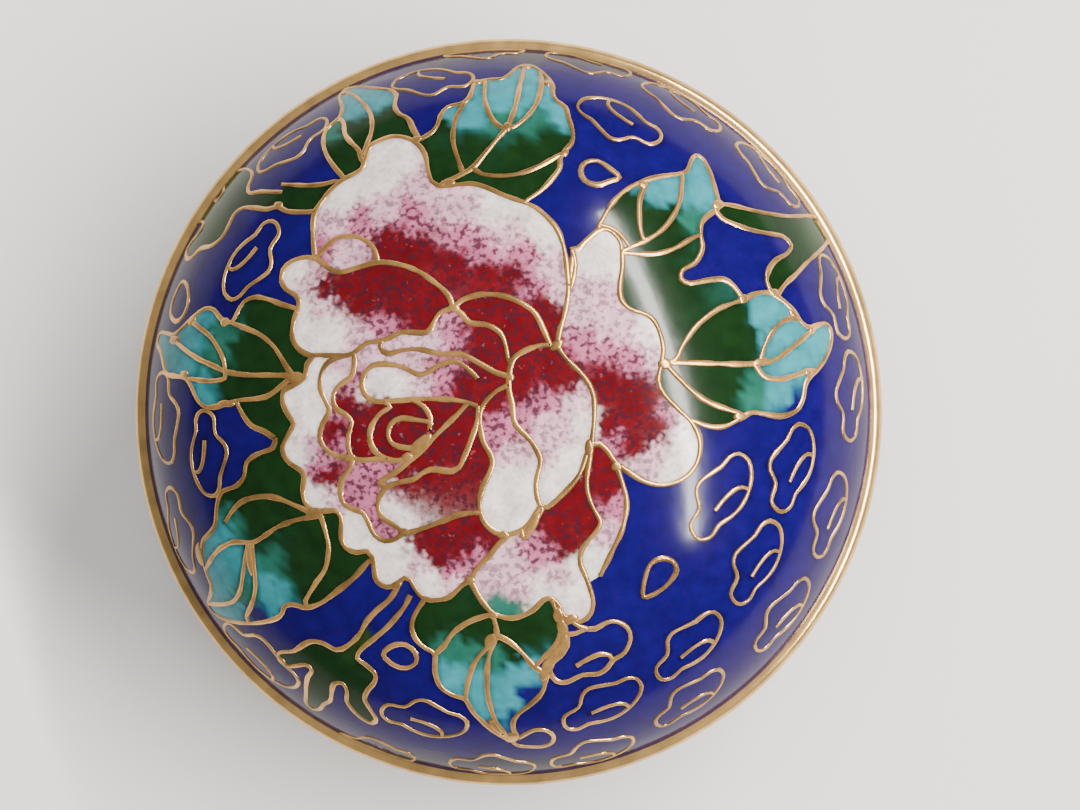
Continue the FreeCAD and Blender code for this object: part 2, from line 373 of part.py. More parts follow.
# a point inside each enamel cell, by the piece of enamel it belongs to
CELLS = {
    "petal_top_enamel": [(-7, 13)],
    "petal_left_enamel": [(-9, 6.5)],
    "petal_crescent_enamel": [(0, 6)],
    "petal_right_enamel": [(8, 2)],
    "petal_small_enamel": [(6.5, -5)],
    "petal_lower_enamel": [(1, -10.5)],
    "petal_lower_left_enamel": [(-12.2, -4)],
    "petal_middle_enamel": [(0.5, -5)],
    "petal_fold_enamel": [(-4, -5.5), (-6, -4.1)],
    "petal_band_enamel": [(-2, 4.2)],
    "petal_heart_enamel": [(-5, 1.4)],
    "petal_spiral_enamel": [(-7.8, -1.5), (-5.8, -1.6)],
    "petal_side_enamel": [(-10.4, 2.4)],
    "leaf_top_enamel": [(-4.3, 17), (-2, 18), (1.5, 17.3), (-0.3, 21.5), (1.7, 22.5)],
    "leaf_upper_right_enamel": [(7.6, 12.8), (12.8, 14), (10, 8)],
    "leaf_right_enamel": [(13.5, 4.8), (18.7, 5), (19.5, 3.2), (14, 1.8), (13.2, -0.4)],
    "leaf_lower_enamel": [(-4, -14), (-3.4, -17.3), (-1.7, -18.5), (0.5, -18), (2, -14.6)],
    "leaf_lower_left_enamel": [(-15, -6.5), (-19.5, -12), (-17.5, -2.5)],
    "leaf_left_enamel": [(-16.8, 6.5), (-17, 3.8), (-21.6, 5), (-23, 3.3)],
    "leaf_upper_left_enamel": [(-11.9, 18), (-10.5, 20)],
    "stem_right_enamel": [(17, 13)],
    "stem_left_enamel": [(-14, 14.4), (-21, 14)],
    "maple_leaf_enamel": [(-12, -17.5)],
    "solder_fill": [(3.7, -15.3)],
}

# ---------------------------------------------------------------- sizes worked out
EDGE_R = DIAMETER / 2 - RIM_SHOW
CROWN = math.radians(CROWN_ANGLE)
EDGE = math.radians(EDGE_ANGLE)
DOME_H = LID_HEIGHT - RIM_HEIGHT - LID_GAP
# two tangent arcs that reach the edge radius at the dome's height
A11 = math.sin(CROWN)
A12 = math.sin(EDGE) - math.sin(CROWN)
A21 = 1 - math.cos(CROWN)
A22 = math.cos(CROWN) - math.cos(EDGE)
DET = A11 * A22 - A12 * A21
R_CROWN = (EDGE_R * A22 - DOME_H * A12) / DET
R_SHOULDER = (DOME_H * A11 - EDGE_R * A21) / DET
LID_FOOT_Z = BASE_HEIGHT + LID_GAP
LID_EDGE_Z = LID_FOOT_Z + RIM_HEIGHT
TOP_Z = LID_EDGE_Z + DOME_H
SHOULDER_R = (R_CROWN - R_SHOULDER) * math.sin(CROWN)
SHOULDER_Z = TOP_Z - R_CROWN + (R_CROWN - R_SHOULDER) * math.cos(CROWN)
S_CROWN = R_CROWN * CROWN
S_EDGE = S_CROWN + R_SHOULDER * (EDGE - CROWN)
DRAW_SCALE = S_EDGE / DRAWN_REACH
COLLAR_R = EDGE_R - COLLAR_INSET
COLLAR_TOP = BASE_HEIGHT + COLLAR_RISE

BASE_EDGE_Z = BASE_HEIGHT - RIM_HEIGHT
FOOT_A = math.radians(BOWL_FOOT_ANGLE)
RUN_R = EDGE_R - FOOT_RADIUS
RUN_Z = BASE_EDGE_Z - FOOT_HEIGHT
# the bowl is one arc: its chord and its slope at the foot give the radius
CHORD_A = math.atan2(RUN_Z, RUN_R)
CHORD = math.hypot(RUN_R, RUN_Z)
BOWL_HALF = CHORD_A - FOOT_A
R_BOWL = CHORD / (2 * math.sin(BOWL_HALF))
BOWL_EDGE_A = FOOT_A + 2 * BOWL_HALF
BOWL_R = FOOT_RADIUS - R_BOWL * math.sin(FOOT_A)
BOWL_Z = FOOT_HEIGHT + R_BOWL * math.cos(FOOT_A)
BOTTOM_Z = FOOT_HEIGHT + ENAMEL * math.cos(FOOT_A)


def dome_point(angle, depth):
    """Point of the lid's section, depth below the enamel's outside."""
    if angle <= CROWN:
        r = (R_CROWN - depth) * math.sin(angle)
        return V(r, 0, TOP_Z - R_CROWN + (R_CROWN - depth) * math.cos(angle))
    r = SHOULDER_R + (R_SHOULDER - depth) * math.sin(angle)
    return V(r, 0, SHOULDER_Z + (R_SHOULDER - depth) * math.cos(angle))


def bowl_point(angle, depth):
    """Point of the bowl's section, depth inside the enamel's outside."""
    r = BOWL_R + (R_BOWL - depth) * math.sin(angle)
    return V(r, 0, BOWL_Z - (R_BOWL - depth) * math.cos(angle))


def arc(a, b, c):
    return Part.Arc(a, b, c).toShape()


def spin(edges):
    """A solid of revolution from the edges of its section."""
    wire = Part.Wire(Part.__sortEdges__(edges))
    return Part.Face(wire).revolve(V(0, 0, 0), V(0, 0, 1), 360)


def spin_points(points):
    corners = [V(r, 0, z) for r, z in points]
    corners.append(corners[0])
    return Part.Face(Part.makePolygon(corners)).revolve(V(0, 0, 0), V(0, 0, 1), 360)


def slab(z0, z1):
    return Part.makeCylinder(DIAMETER, z1 - z0, V(0, 0, z0))


def zone(low, high):
    """Arc of a sphere centred on the axis, through two points of a section."""
    rise = (high.x ** 2 + high.z ** 2 - low.x ** 2 - low.z ** 2) / (2 * (high.z - low.z))
    radius = math.hypot(low.x, low.z - rise)
    side = 1 if low.z > rise or high.z > rise else -1
    half = (math.atan2(low.x, side * (low.z - rise)) + math.atan2(high.x, side * (high.z - rise))) / 2
    return arc(low, V(radius * math.sin(half), 0, rise + side * radius * math.cos(half)), high)


def dome_line(depth, end):
    """The lid's section at one depth: the crown, then short zones that follow the shoulder."""
    edges = [arc(dome_point(0, depth), dome_point(CROWN / 2, depth), dome_point(CROWN, depth))]
    angles = [CROWN + (end - CROWN) * k / ZONES for k in range(ZONES + 1)]
    for a, b in zip(angles, angles[1:]):
        edges.append(zone(dome_point(a, depth), dome_point(b, depth)))
    return edges


def dome_layer(outside, inside):
    """A layer of the lid between two depths, cut level at the rim."""
    end = math.radians(EDGE_ANGLE + LID_OVERRUN)
    edges = dome_line(outside, end) + dome_line(inside, end)
    edges.append(Part.makeLine(dome_point(0, outside), dome_point(0, inside)))
    edges.append(Part.makeLine(dome_point(end, outside), dome_point(end, inside)))
    return spin(edges).common(slab(LID_EDGE_Z, TOP_Z + PAST))


def bowl_line(depth, end):
    """The section of the bowl's wall at one depth, in short zones."""
    angles = [FOOT_A + (end - FOOT_A) * k / ZONES for k in range(ZONES + 1)]
    return [zone(bowl_point(a, depth), bowl_point(b, depth)) for a, b in zip(angles, angles[1:])]


def bowl_wall(outside, inside):
    """A layer of the bowl's wall between two depths, cut level at the rim."""
    end = BOWL_EDGE_A + math.radians(BOWL_OVERRUN)
    edges = bowl_line(outside, end) + bowl_line(inside, end)
    edges.append(Part.makeLine(bowl_point(FOOT_A, outside), bowl_point(FOOT_A, inside)))
    edges.append(Part.makeLine(bowl_point(end, outside), bowl_point(end, inside)))
    return spin(edges).common(slab(-PAST, BASE_EDGE_Z))


def bowl_layer(outside, inside):
    """A layer of the bowl, wall and flat floor in one."""
    end = BOWL_EDGE_A + math.radians(BOWL_OVERRUN)
    low = bowl_point(FOOT_A, outside)
    high = bowl_point(FOOT_A, inside)
    edges = bowl_line(outside, end) + bowl_line(inside, end)
    edges.append(Part.makeLine(V(0, 0, low.z), low))
    edges.append(Part.makeLine(bowl_point(end, outside), bowl_point(end, inside)))
    edges.append(Part.makeLine(high, V(0, 0, high.z)))
    edges.append(Part.makeLine(V(0, 0, high.z), V(0, 0, low.z)))
    return spin(edges).common(slab(-PAST, BASE_EDGE_Z))


def rim(inner, z0, wide_at_foot):
    """A brass rim with a rounded outside; the lid's and the base's are mirror images."""
    outer = DIAMETER / 2
    z1 = z0 + RIM_HEIGHT
    wide = outer - RIM_BULGE * RIM_FALL_WIDE
    narrow = outer - RIM_BULGE * RIM_FALL_NARROW
    low, high = (wide, narrow) if wide_at_foot else (narrow, wide)
    edges = [
        Part.makeLine(V(inner, 0, z0), V(low, 0, z0)),
        arc(V(low, 0, z0), V(outer, 0, (z0 + z1) / 2), V(high, 0, z1)),
        Part.makeLine(V(high, 0, z1), V(inner, 0, z1)),
        Part.makeLine(V(inner, 0, z1), V(inner, 0, z0)),
    ]
    return spin(edges)


# ---------------------------------------------------------------- flat drawing, seen from above
def lid_plan(u, v):
    """Plan position of a drawn point of the lid."""
    s = math.hypot(u, v) * DRAW_SCALE
    turn = math.atan2(v, u)
    if s <= S_CROWN:
        r = R_CROWN * math.sin(s / R_CROWN)
    elif s <= S_EDGE:
        r = SHOULDER_R + R_SHOULDER * math.sin(CROWN + (s - S_CROWN) / R_SHOULDER)
    else:
        r = EDGE_R + (s - S_EDGE) * math.cos(EDGE)
    return (r * math.cos(turn), r * math.sin(turn))


def bowl_plan(along, up):
    """Plan position of a point of the bowl: distance round at the wall's middle, distance up it."""
    angle = FOOT_A + up / R_BOWL
    r = BOWL_R + R_BOWL * math.sin(angle)
    turn = along / ((EDGE_R + FOOT_RADIUS) / 2)
    return (r * math.cos(turn), r * math.sin(turn))


def smooth(points):
    """A bent line through the points, in pieces no longer than WIRE_STEP."""
    closed = math.dist(points[0], points[-1]) < MEET
    line = []
    for i in range(len(points) - 1):
        b, c = points[i], points[i + 1]
        if i > 0:
            a = points[i - 1]
        else:
            a = points[-2] if closed else (2 * b[0] - c[0], 2 * b[1] - c[1])
        if i + 2 < len(points):
            d = points[i + 2]
        else:
            d = points[1] if closed else (2 * c[0] - b[0], 2 * c[1] - b[1])
        pieces = max(1, round(math.dist(b, c) / WIRE_STEP))
        for k in range(pieces):
            t = k / pieces
            spot = []
            for n in (0, 1):
                value = 2 * b[n] + (c[n] - a[n]) * t
                value += (2 * a[n] - 5 * b[n] + 4 * c[n] - d[n]) * t ** 2
                value += (3 * b[n] - a[n] - 3 * c[n] + d[n]) * t ** 3
                spot.append(value / 2)
            line.append(tuple(spot))
    if not closed:
        line.append(points[-1])
    return line, closed


def wire_face(points, plan):
    """The plan of one wire, WIRE wide on the enamel's surface."""
    line, closed = smooth(points)
    count = len(line)
    left = []
    right = []
    for i in range(count):
        before = line[i - 1] if (i > 0 or closed) else line[0]
        after = line[(i + 1) % count] if (i < count - 1 or closed) else line[-1]
        run = math.dist(before, after)
        nx = -(after[1] - before[1]) / run * WIRE / 2
        ny = (after[0] - before[0]) / run * WIRE / 2
        left.append(V(*plan(line[i][0] + nx, line[i][1] + ny), 0))
        right.append(V(*plan(line[i][0] - nx, line[i][1] - ny), 0))
    if closed:
        rings = [Part.Face(Part.makePolygon(side + side[:1])) for side in (left, right)]
        rings.sort(key=lambda face: -face.Area)
        return rings[0].cut(rings[1])
    return Part.Face(Part.makePolygon(left + right[::-1] + left[:1]))


def placed(ends, points):
    """Cloud points set between a small end and a big end, bulging to the outside."""
    (x0, y0), (x1, y1) = ends
    ax, ay = x1 - x0, y1 - y0
    bx, by = ay, -ax
    if bx * (x0 + x1) + by * (y0 + y1) < 0:
        bx, by = -bx, -by
    out = []
    for a, b in points:
        u = x0 + a * ax + b * bx
        v = y0 + a * ay + b * by
        reach = math.hypot(u, v)
        fit = min(1.0, (DRAWN_REACH - CLOUD_MARGIN) / reach)
        out.append((u * fit, v * fit))
    return out


def joined(faces):
    if len(faces) == 1:
        return faces[0]
    return faces[0].multiFuse(faces[1:]).removeSplitter()


def in_fields(faces, count):
    """The blue ground fired as equal fields round the axis, side by side."""
    parts = []
    for number in range(count):
        corners = [V(0, 0, 0)]
        for k in range(FAN + 1):
            turn = 2 * math.pi * (number + k / FAN) / count
            corners.append(V(2 * DIAMETER * math.cos(turn), 2 * DIAMETER * math.sin(turn), 0))
        corners.append(corners[0])
        field = Part.Face(Part.makePolygon(corners))
        for face in faces:
            if face.Area > SPECK:
                parts += field.common(face).Faces
    return parts


def raised(faces, layer, z0, z1):
    """The part of a layer that lies over some plan faces, as separate solids."""
    solids = []
    for face in faces:
        if face.Area < SPECK:
            continue
        flat = face.copy()
        flat.translate(V(0, 0, z0))
        solids += layer.common(flat.extrude(V(0, 0, z1 - z0))).Solids
    return solids


def save(name, shape):
    if isinstance(shape, list):
        shape = shape[0] if len(shape) == 1 else Part.makeCompound(shape)
    shape.exportStep("parts/" + name + ".step")


os.makedirs("parts", exist_ok=True)

# ---------------------------------------------------------------- lid metalwork and lining
save("lid_shell", dome_layer(ENAMEL, ENAMEL + SHELL))
# the collar goes up inside the lid, so the lining is relieved round it
collar_room = Part.makeCylinder(
    COLLAR_R + COLLAR_CLEAR, COLLAR_TOP + COLLAR_CLEAR - LID_FOOT_Z, V(0, 0, LID_FOOT_Z))
save("lid_lining", dome_layer(ENAMEL + SHELL, ENAMEL + SHELL + LINING).cut(collar_room))
save("lid_rim", rim(COLLAR_R + COLLAR_CLEAR, LID_FOOT_Z, True))

# ---------------------------------------------------------------- lid picture
picture = dome_layer(0, ENAMEL)
plan_disc = Part.Face(Part.Wire(Part.makeCircle(EDGE_R + PLAN_PAST)))
taken = None
sets = list(WIRE_SETS)
clouds = {}
for number, ends in enumerate(CLOUDS):
    clouds["cloud_%d" % number] = placed(ends, CLOUD)
    clouds["hook_%d" % number] = placed(ends, CLOUD_HOOK)
sets.append(("cloud_wires", clouds))
for name, strokes in sets:
    flat = joined([wire_face(points, lid_plan) for points in strokes.values()])
    own = flat if taken is None else flat.cut(taken)
    taken = flat if taken is None else joined([taken, flat])
    save(name, raised(own.Faces, picture, LID_EDGE_Z - PAST, TOP_Z + PAST))

open_cells = sorted(plan_disc.cut(taken).Faces, key=lambda face: face.Area)
ground = open_cells.pop()
for name, seeds in CELLS.items():
    mine = []
    for seed in seeds:
        spot = V(*lid_plan(*seed), 0)
        for face in open_cells:
            if face.isInside(spot, ON_CELL, True):
                mine.append(face)
                open_cells.remove(face)
                break
    save(name, raised(mine, picture, LID_EDGE_Z - PAST, TOP_Z + PAST))
rest = open_cells + in_fields([ground], FIELDS)
save("lid_ground_enamel", raised(rest, picture, LID_EDGE_Z - PAST, TOP_Z + PAST))

# ---------------------------------------------------------------- base metalwork and lining
save("base_shell", bowl_layer(ENAMEL, ENAMEL + SHELL))
save("base_lining", bowl_layer(ENAMEL + SHELL, ENAMEL + SHELL + LINING))
save("base_rim", rim(COLLAR_R, BASE_EDGE_Z, False))
save("base_collar", spin_points([
    (COLLAR_R - COLLAR_WALL, BASE_EDGE_Z),
    (COLLAR_R, BASE_EDGE_Z),
    (COLLAR_R, COLLAR_TOP),
    (COLLAR_R - COLLAR_WALL, COLLAR_TOP)]))
foot_in = FOOT_RADIUS - FOOT_WIDTH
start = bowl_point(FOOT_A, 0)
under = bowl_point(FOOT_A, ENAMEL)
save("foot_ring", spin_points([
    (foot_in, 0), (FOOT_RADIUS + FOOT_FLARE, 0), (start.x, start.z), (under.x, under.z), (foot_in, BOTTOM_Z)]))
save("base_foot_enamel", Part.makeCylinder(foot_in, FOOT_ENAMEL, V(0, 0, BOTTOM_Z - FOOT_ENAMEL)))

# ---------------------------------------------------------------- bowl picture
wall = bowl_wall(0, ENAMEL)
row_length = 2 * math.pi * (EDGE_R + FOOT_RADIUS) / 2
flats = []
for row, (up, count) in enumerate(BASE_ROWS):
    # the drawing is stretched round the bowl, so clouds low on it are drawn longer
    radius = BOWL_R + R_BOWL * math.sin(FOOT_A + up / R_BOWL)
    stretch = (EDGE_R + FOOT_RADIUS) / 2 / radius
    for number in range(count):
        middle = row_length * (number + 0.5 * row) / count
        for points in (CLOUD, CLOUD_HOOK):
            spots = []
            for a, b in points:
                spots.append((middle + (a - 0.5) * BASE_CLOUD * stretch, up - b * BASE_CLOUD))
            flats.append(wire_face(spots, bowl_plan))
flat = joined(flats)
save("base_cloud_wires", raised(flat.Faces, wall, -PAST, BASE_HEIGHT))
ring = Part.Face(Part.Wire(Part.makeCircle(EDGE_R + PAST)))
rest = in_fields(ring.cut(flat).Faces, FIELDS)
save("base_ground_enamel", raised(rest, wall, -PAST, BASE_HEIGHT))
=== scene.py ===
"""Enamelled pill box: the looks built over the CAD row, laid out as an add-on."""
import json
import math

import bpy
from mathutils import Vector, Matrix, noise
from mathutils.geometry import delaunay_2d_cdt
from mathutils.kdtree import KDTree


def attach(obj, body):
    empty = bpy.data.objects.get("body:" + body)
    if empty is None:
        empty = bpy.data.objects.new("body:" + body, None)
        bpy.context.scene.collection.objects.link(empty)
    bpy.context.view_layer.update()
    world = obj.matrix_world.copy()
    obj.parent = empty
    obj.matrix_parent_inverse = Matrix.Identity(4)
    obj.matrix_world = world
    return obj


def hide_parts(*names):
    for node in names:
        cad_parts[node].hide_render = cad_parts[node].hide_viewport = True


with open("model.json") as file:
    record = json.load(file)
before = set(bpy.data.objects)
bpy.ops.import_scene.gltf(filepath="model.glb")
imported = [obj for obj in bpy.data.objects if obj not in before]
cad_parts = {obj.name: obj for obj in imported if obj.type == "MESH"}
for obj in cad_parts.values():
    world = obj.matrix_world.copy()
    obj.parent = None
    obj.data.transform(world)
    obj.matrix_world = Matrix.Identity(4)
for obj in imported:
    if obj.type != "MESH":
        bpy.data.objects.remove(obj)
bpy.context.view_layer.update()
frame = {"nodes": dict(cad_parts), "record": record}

bl_info = {
    "name": "Cloisonne pill box",
    "version": (1, 0, 0),
    "blender": (4, 5, 0),
    "location": "View3D > Sidebar > Pill box",
    "description": "Builds a round enamelled pill box with a lift-off lid",
    "category": "Add Mesh",
}

MM = 0.001
FLOWER_OUTLINE = {
    "top_a": [
        (-12.4, 10), (-12.65, 12), (-12.6, 13.1), (-12.1, 14), (-11.6, 14.65), (-10.85, 15.3),
        (-10.05, 15.7), (-9.5, 16.1), (-9.3, 17), (-9.15, 17.75), (-8.7, 18.1), (-7.6, 18.45),
        (-6.6, 18.25), (-5.95, 17.85), (-5.5, 17.35), (-5.15, 16.6), (-4.95, 15.6), (-4.7, 14.85),
        (-4.3, 14.55), (-3.6, 14.5), (-2.2, 14.6), (-1.2, 14.35), (0.15, 13.7), (1.75, 13.1),
        (2.4, 12.65), (2.95, 12.1), (3.5, 11.35), (3.9, 10.15), (4.1, 8.6), (4.15, 7.4), (3.95, 6),
        (3.6, 4.8), (3.45, 3.9)],
    "left_top": [
        (-14.7, 8.5), (-14.6, 9.2), (-14, 9.75), (-12.9, 9.95), (-12.1, 9.7), (-11.3, 9.1), (-10.5, 8.8),
        (-9.4, 9.05), (-8.05, 9.35), (-6.75, 9.2), (-5.4, 8.7), (-4.2, 7.85), (-3.4, 7.1), (-3.05, 6.25)],
    "left_side": [
        (-14.7, 8.5), (-14.3, 7.85), (-13.5, 7.35), (-13.3, 6.7), (-13.6, 5.8), (-13.7, 4.8),
        (-13.3, 3.95), (-12.5, 3.45), (-11.7, 3.4), (-10.9, 3.35), (-9.8, 3.35), (-9.2, 3.65),
        (-8.6, 4.1), (-7.9, 4.2), (-7.1, 4.4), (-6.3, 4.75), (-4.75, 4.7), (-4.3, 5.3), (-3.9, 5.95),
        (-3.05, 6.25)],
    "crescent_top": [
        (-3.05, 6.25), (-2.5, 6.75), (-1.3, 7.1), (0.1, 7), (1.3, 6.5), (2.1, 5.85), (2.6, 4.85), (3, 3.9)],
    "crescent_low": [
        (-3.05, 6.25), (-2.5, 5.85), (-2, 5.3), (-0.9, 5.15), (-0.1, 4.65), (0.25, 3.8), (0.4, 2.9)],
    "center_left": [
        (3.4, 3.85), (2.5, 3.9), (1.45, 3.55), (0.7, 3), (0.45, 2.05), (0.45, 1), (0.65, 0.2),
        (0.75, -0.8), (1.1, -1.35), (1.75, -2), (2.2, -2.7), (2.4, -3.3), (2.25, -4), (2.1, -4.8),
        (2.2, -5.6), (2.45, -6.2), (2.85, -6.2), (3.5, -5.65), (4.3, -4.85), (4.85, -4.1), (5.2, -3.1),
        (5.5, -2.3)],
    "center_right": [
        (3.45, 3.85), (4, 3.05), (5.05, 2), (5.65, 0.9), (5.75, -0.4), (5.6, -2.1)],
    "right_left": [
        (4.4, 10.1), (4.6, 9), (4.3, 7.6)],
    "right_a": [
        (4.3, 10.05), (4.8, 10.15), (5.5, 10.85), (6.3, 11.5), (7, 11.35), (7.55, 10.6), (7.65, 9.2),
        (7.45, 7.9), (7.5, 6.9), (8.1, 6.25), (9.2, 5.9), (9.8, 5.25), (10.2, 3.8), (10, 2.6),
        (9.85, 1.7), (10.2, 0.9), (11.15, -0.05), (12, -0.85), (12.55, -1.8), (12.6, -2.8),
        (12.25, -3.8), (11.4, -4.55), (10.2, -4.88), (9, -4.65), (8, -4.05), (7.1, -3.4), (6.7, -2.8),
        (6.1, -2.25), (5.6, -2.3)],
    "small_right": [
        (7.1, -3.4), (7.45, -4.4), (7.8, -5.6), (7.8, -6.7), (7.5, -7.9), (6.95, -9.1), (6.2, -10.7)],
    "small_gap": [
        (6.2, -10.7), (5.45, -11.15)],
    "lower_right": [
        (5.6, -2.3), (5.45, -3.3), (5.3, -4.4), (5.35, -5.3), (5.7, -6.25), (6.2, -7.15), (5.9, -7.8),
        (5.3, -8.5), (4.95, -9.2), (4.95, -9.9), (5.25, -10.6), (5.6, -11.6), (5.8, -12.5),
        (5.65, -13.25), (5.1, -13.75), (4.4, -13.7), (3.9, -13.3), (3.65, -12.7), (3.15, -12.15),
        (2.6, -12.25), (1.9, -12.95), (1, -13.4), (0.2, -13.45), (-0.6, -13.15), (-1.2, -12.5),
        (-1.6, -11.85), (-2.05, -10.95)],
    "lower_diag": [
        (-2.05, -10.9), (-1.5, -10), (-0.75, -9.25), (-0.35, -8.7), (0.3, -8.05)],
    "lower_tail": [
        (2.5, -6.35), (1.9, -7.3), (1.4, -8.2)],
    "lowleft_a": [
        (-12.1, 3.4), (-12.6, 2.8), (-12.75, 1.95), (-13.6, 1.45), (-14.25, 1.1), (-14.25, 0.3),
        (-13.85, -0.45), (-13.5, -1), (-13.8, -1.55), (-14.3, -2.45), (-14.2, -3.05), (-13.8, -3.55),
        (-13.1, -3.95), (-12.8, -4.4), (-12.95, -5.2), (-12.85, -6), (-12.3, -6.6), (-11.5, -6.6),
        (-10.8, -6.55), (-10.4, -6.9), (-10.35, -7.6), (-10.4, -8.4), (-10.1, -9), (-9.4, -9.25),
        (-8.7, -9.15), (-8.35, -9.5), (-8.25, -10.5), (-8.1, -11.15), (-7.5, -11.5), (-6.85, -11.3),
        (-6.3, -10.85), (-5.95, -10.95), (-5.5, -11.75), (-5, -12.2), (-4.3, -12.3), (-3.4, -12.05),
        (-2.6, -11.3), (-2.05, -10.9)],
}
FLOWER_INNER = {
    "curl": [
        (-12.1, 10), (-11.55, 10.65), (-10.8, 11.15), (-9.7, 11.2), (-8.8, 10.8), (-8.2, 10.1),
        (-8.05, 9.4)],
    "in_a": [
        (-7.6, 4.3), (-7.7, 3.8), (-7.2, 3.4), (-6.3, 3.6), (-5.2, 3.65), (-3.8, 3.35), (-2.5, 3.3),
        (-1.3, 2.7), (-0.4, 2.2), (0.45, 1.95)],
    "in_b": [
        (-1.5, 1.8), (-2.1, 2.4), (-2.95, 2.9), (-4, 2.6), (-5.05, 2.05), (-6.25, 2.55), (-7.4, 2.75),
        (-8.3, 2.6), (-8.85, 1.8), (-8.7, 0.9), (-8, 0.42), (-6.6, 0.45), (-4.8, 0.55), (-3.1, 0.5),
        (-2.1, 0.3), (-1.5, 0.1)],
    "in_c": [
        (0.45, 1.4), (-0.3, 1.05), (-0.9, 0.5), (-1.3, -0.1), (-1.35, -1), (-1.15, -2.1), (-0.7, -2.9),
        (-0.58, -3.5), (-0.85, -4.25), (-1.2, -4.95), (-1.4, -5.8), (-1.35, -6.6), (-1, -7.3),
        (-0.4, -7.8), (0.4, -7.95), (1.2, -7.65), (1.8, -7.1), (2.15, -6.5), (2.4, -6.1)],
    "in_d": [
        (-1.5, 0.1), (-1.5, -0.7), (-1.85, -1.85), (-2.25, -2.85), (-2.65, -3.7), (-3.1, -3.95),
        (-4.4, -3.84), (-5, -4.1), (-5.6, -4.5), (-6.4, -4.65), (-7.3, -5), (-7.8, -5.7), (-7.85, -6.5),
        (-7.4, -7.1), (-6.7, -7.5), (-6.15, -7.85), (-5.2, -7.65), (-4, -7.2), (-2.6, -6.65),
        (-1.4, -6.55)],
    "in_e": [
        (-2.1, 0.3), (-2.95, -0.6), (-4.1, -1.7), (-5, -2.65), (-5.9, -3.4), (-6.7, -4.05), (-7.75, -4.7)],
    "spiral_out": [
        (-5.6, 0.5), (-4.9, 0.1), (-4.45, -0.6), (-4.5, -1.4)],
    "spiral_left": [
        (-7.4, 0.4), (-7, 0.05), (-7.6, -0.3), (-8.2, -1.1), (-8.35, -2), (-8, -2.75), (-7.3, -3.2),
        (-6.5, -3.3), (-5.8, -3.1)],
    "spiral_in": [
        (-4.5, -0.9), (-5.35, -0.75), (-6.3, -0.65), (-6.95, -1), (-7.15, -1.75), (-6.8, -2.3),
        (-6, -2.5), (-5.1, -2.5)],
    "lobe_one": [
        (-9.4, 3.4), (-9.4, 2.6), (-9.6, 1.95), (-10.3, 1.5), (-10.75, 0.9), (-10.6, 0), (-9.95, -0.4),
        (-9.5, -0.9), (-9.75, -1.7), (-9.75, -2.5), (-9.45, -3.15), (-8.7, -3.3), (-7.9, -3.2),
        (-7.2, -3.2)],
    "lobe_two": [
        (-10.2, 3.3), (-11.1, 2.95), (-11.6, 2.2), (-11.65, 1.2), (-11.2, 0.3), (-11.05, -0.3),
        (-11.5, -1), (-11.7, -1.8), (-11.4, -2.45), (-10.8, -2.95), (-10.1, -3.1), (-9.5, -3.15)],
    "lobe_low": [
        (-9.5, -3.2), (-9.65, -3.8), (-10.2, -4.5), (-10.35, -5.3), (-10.15, -6.1), (-9.5, -6.45),
        (-8.85, -6.7), (-8.5, -7.4), (-8.15, -8.1), (-7.5, -8.45), (-6.8, -8.3), (-6.15, -7.85)],
}
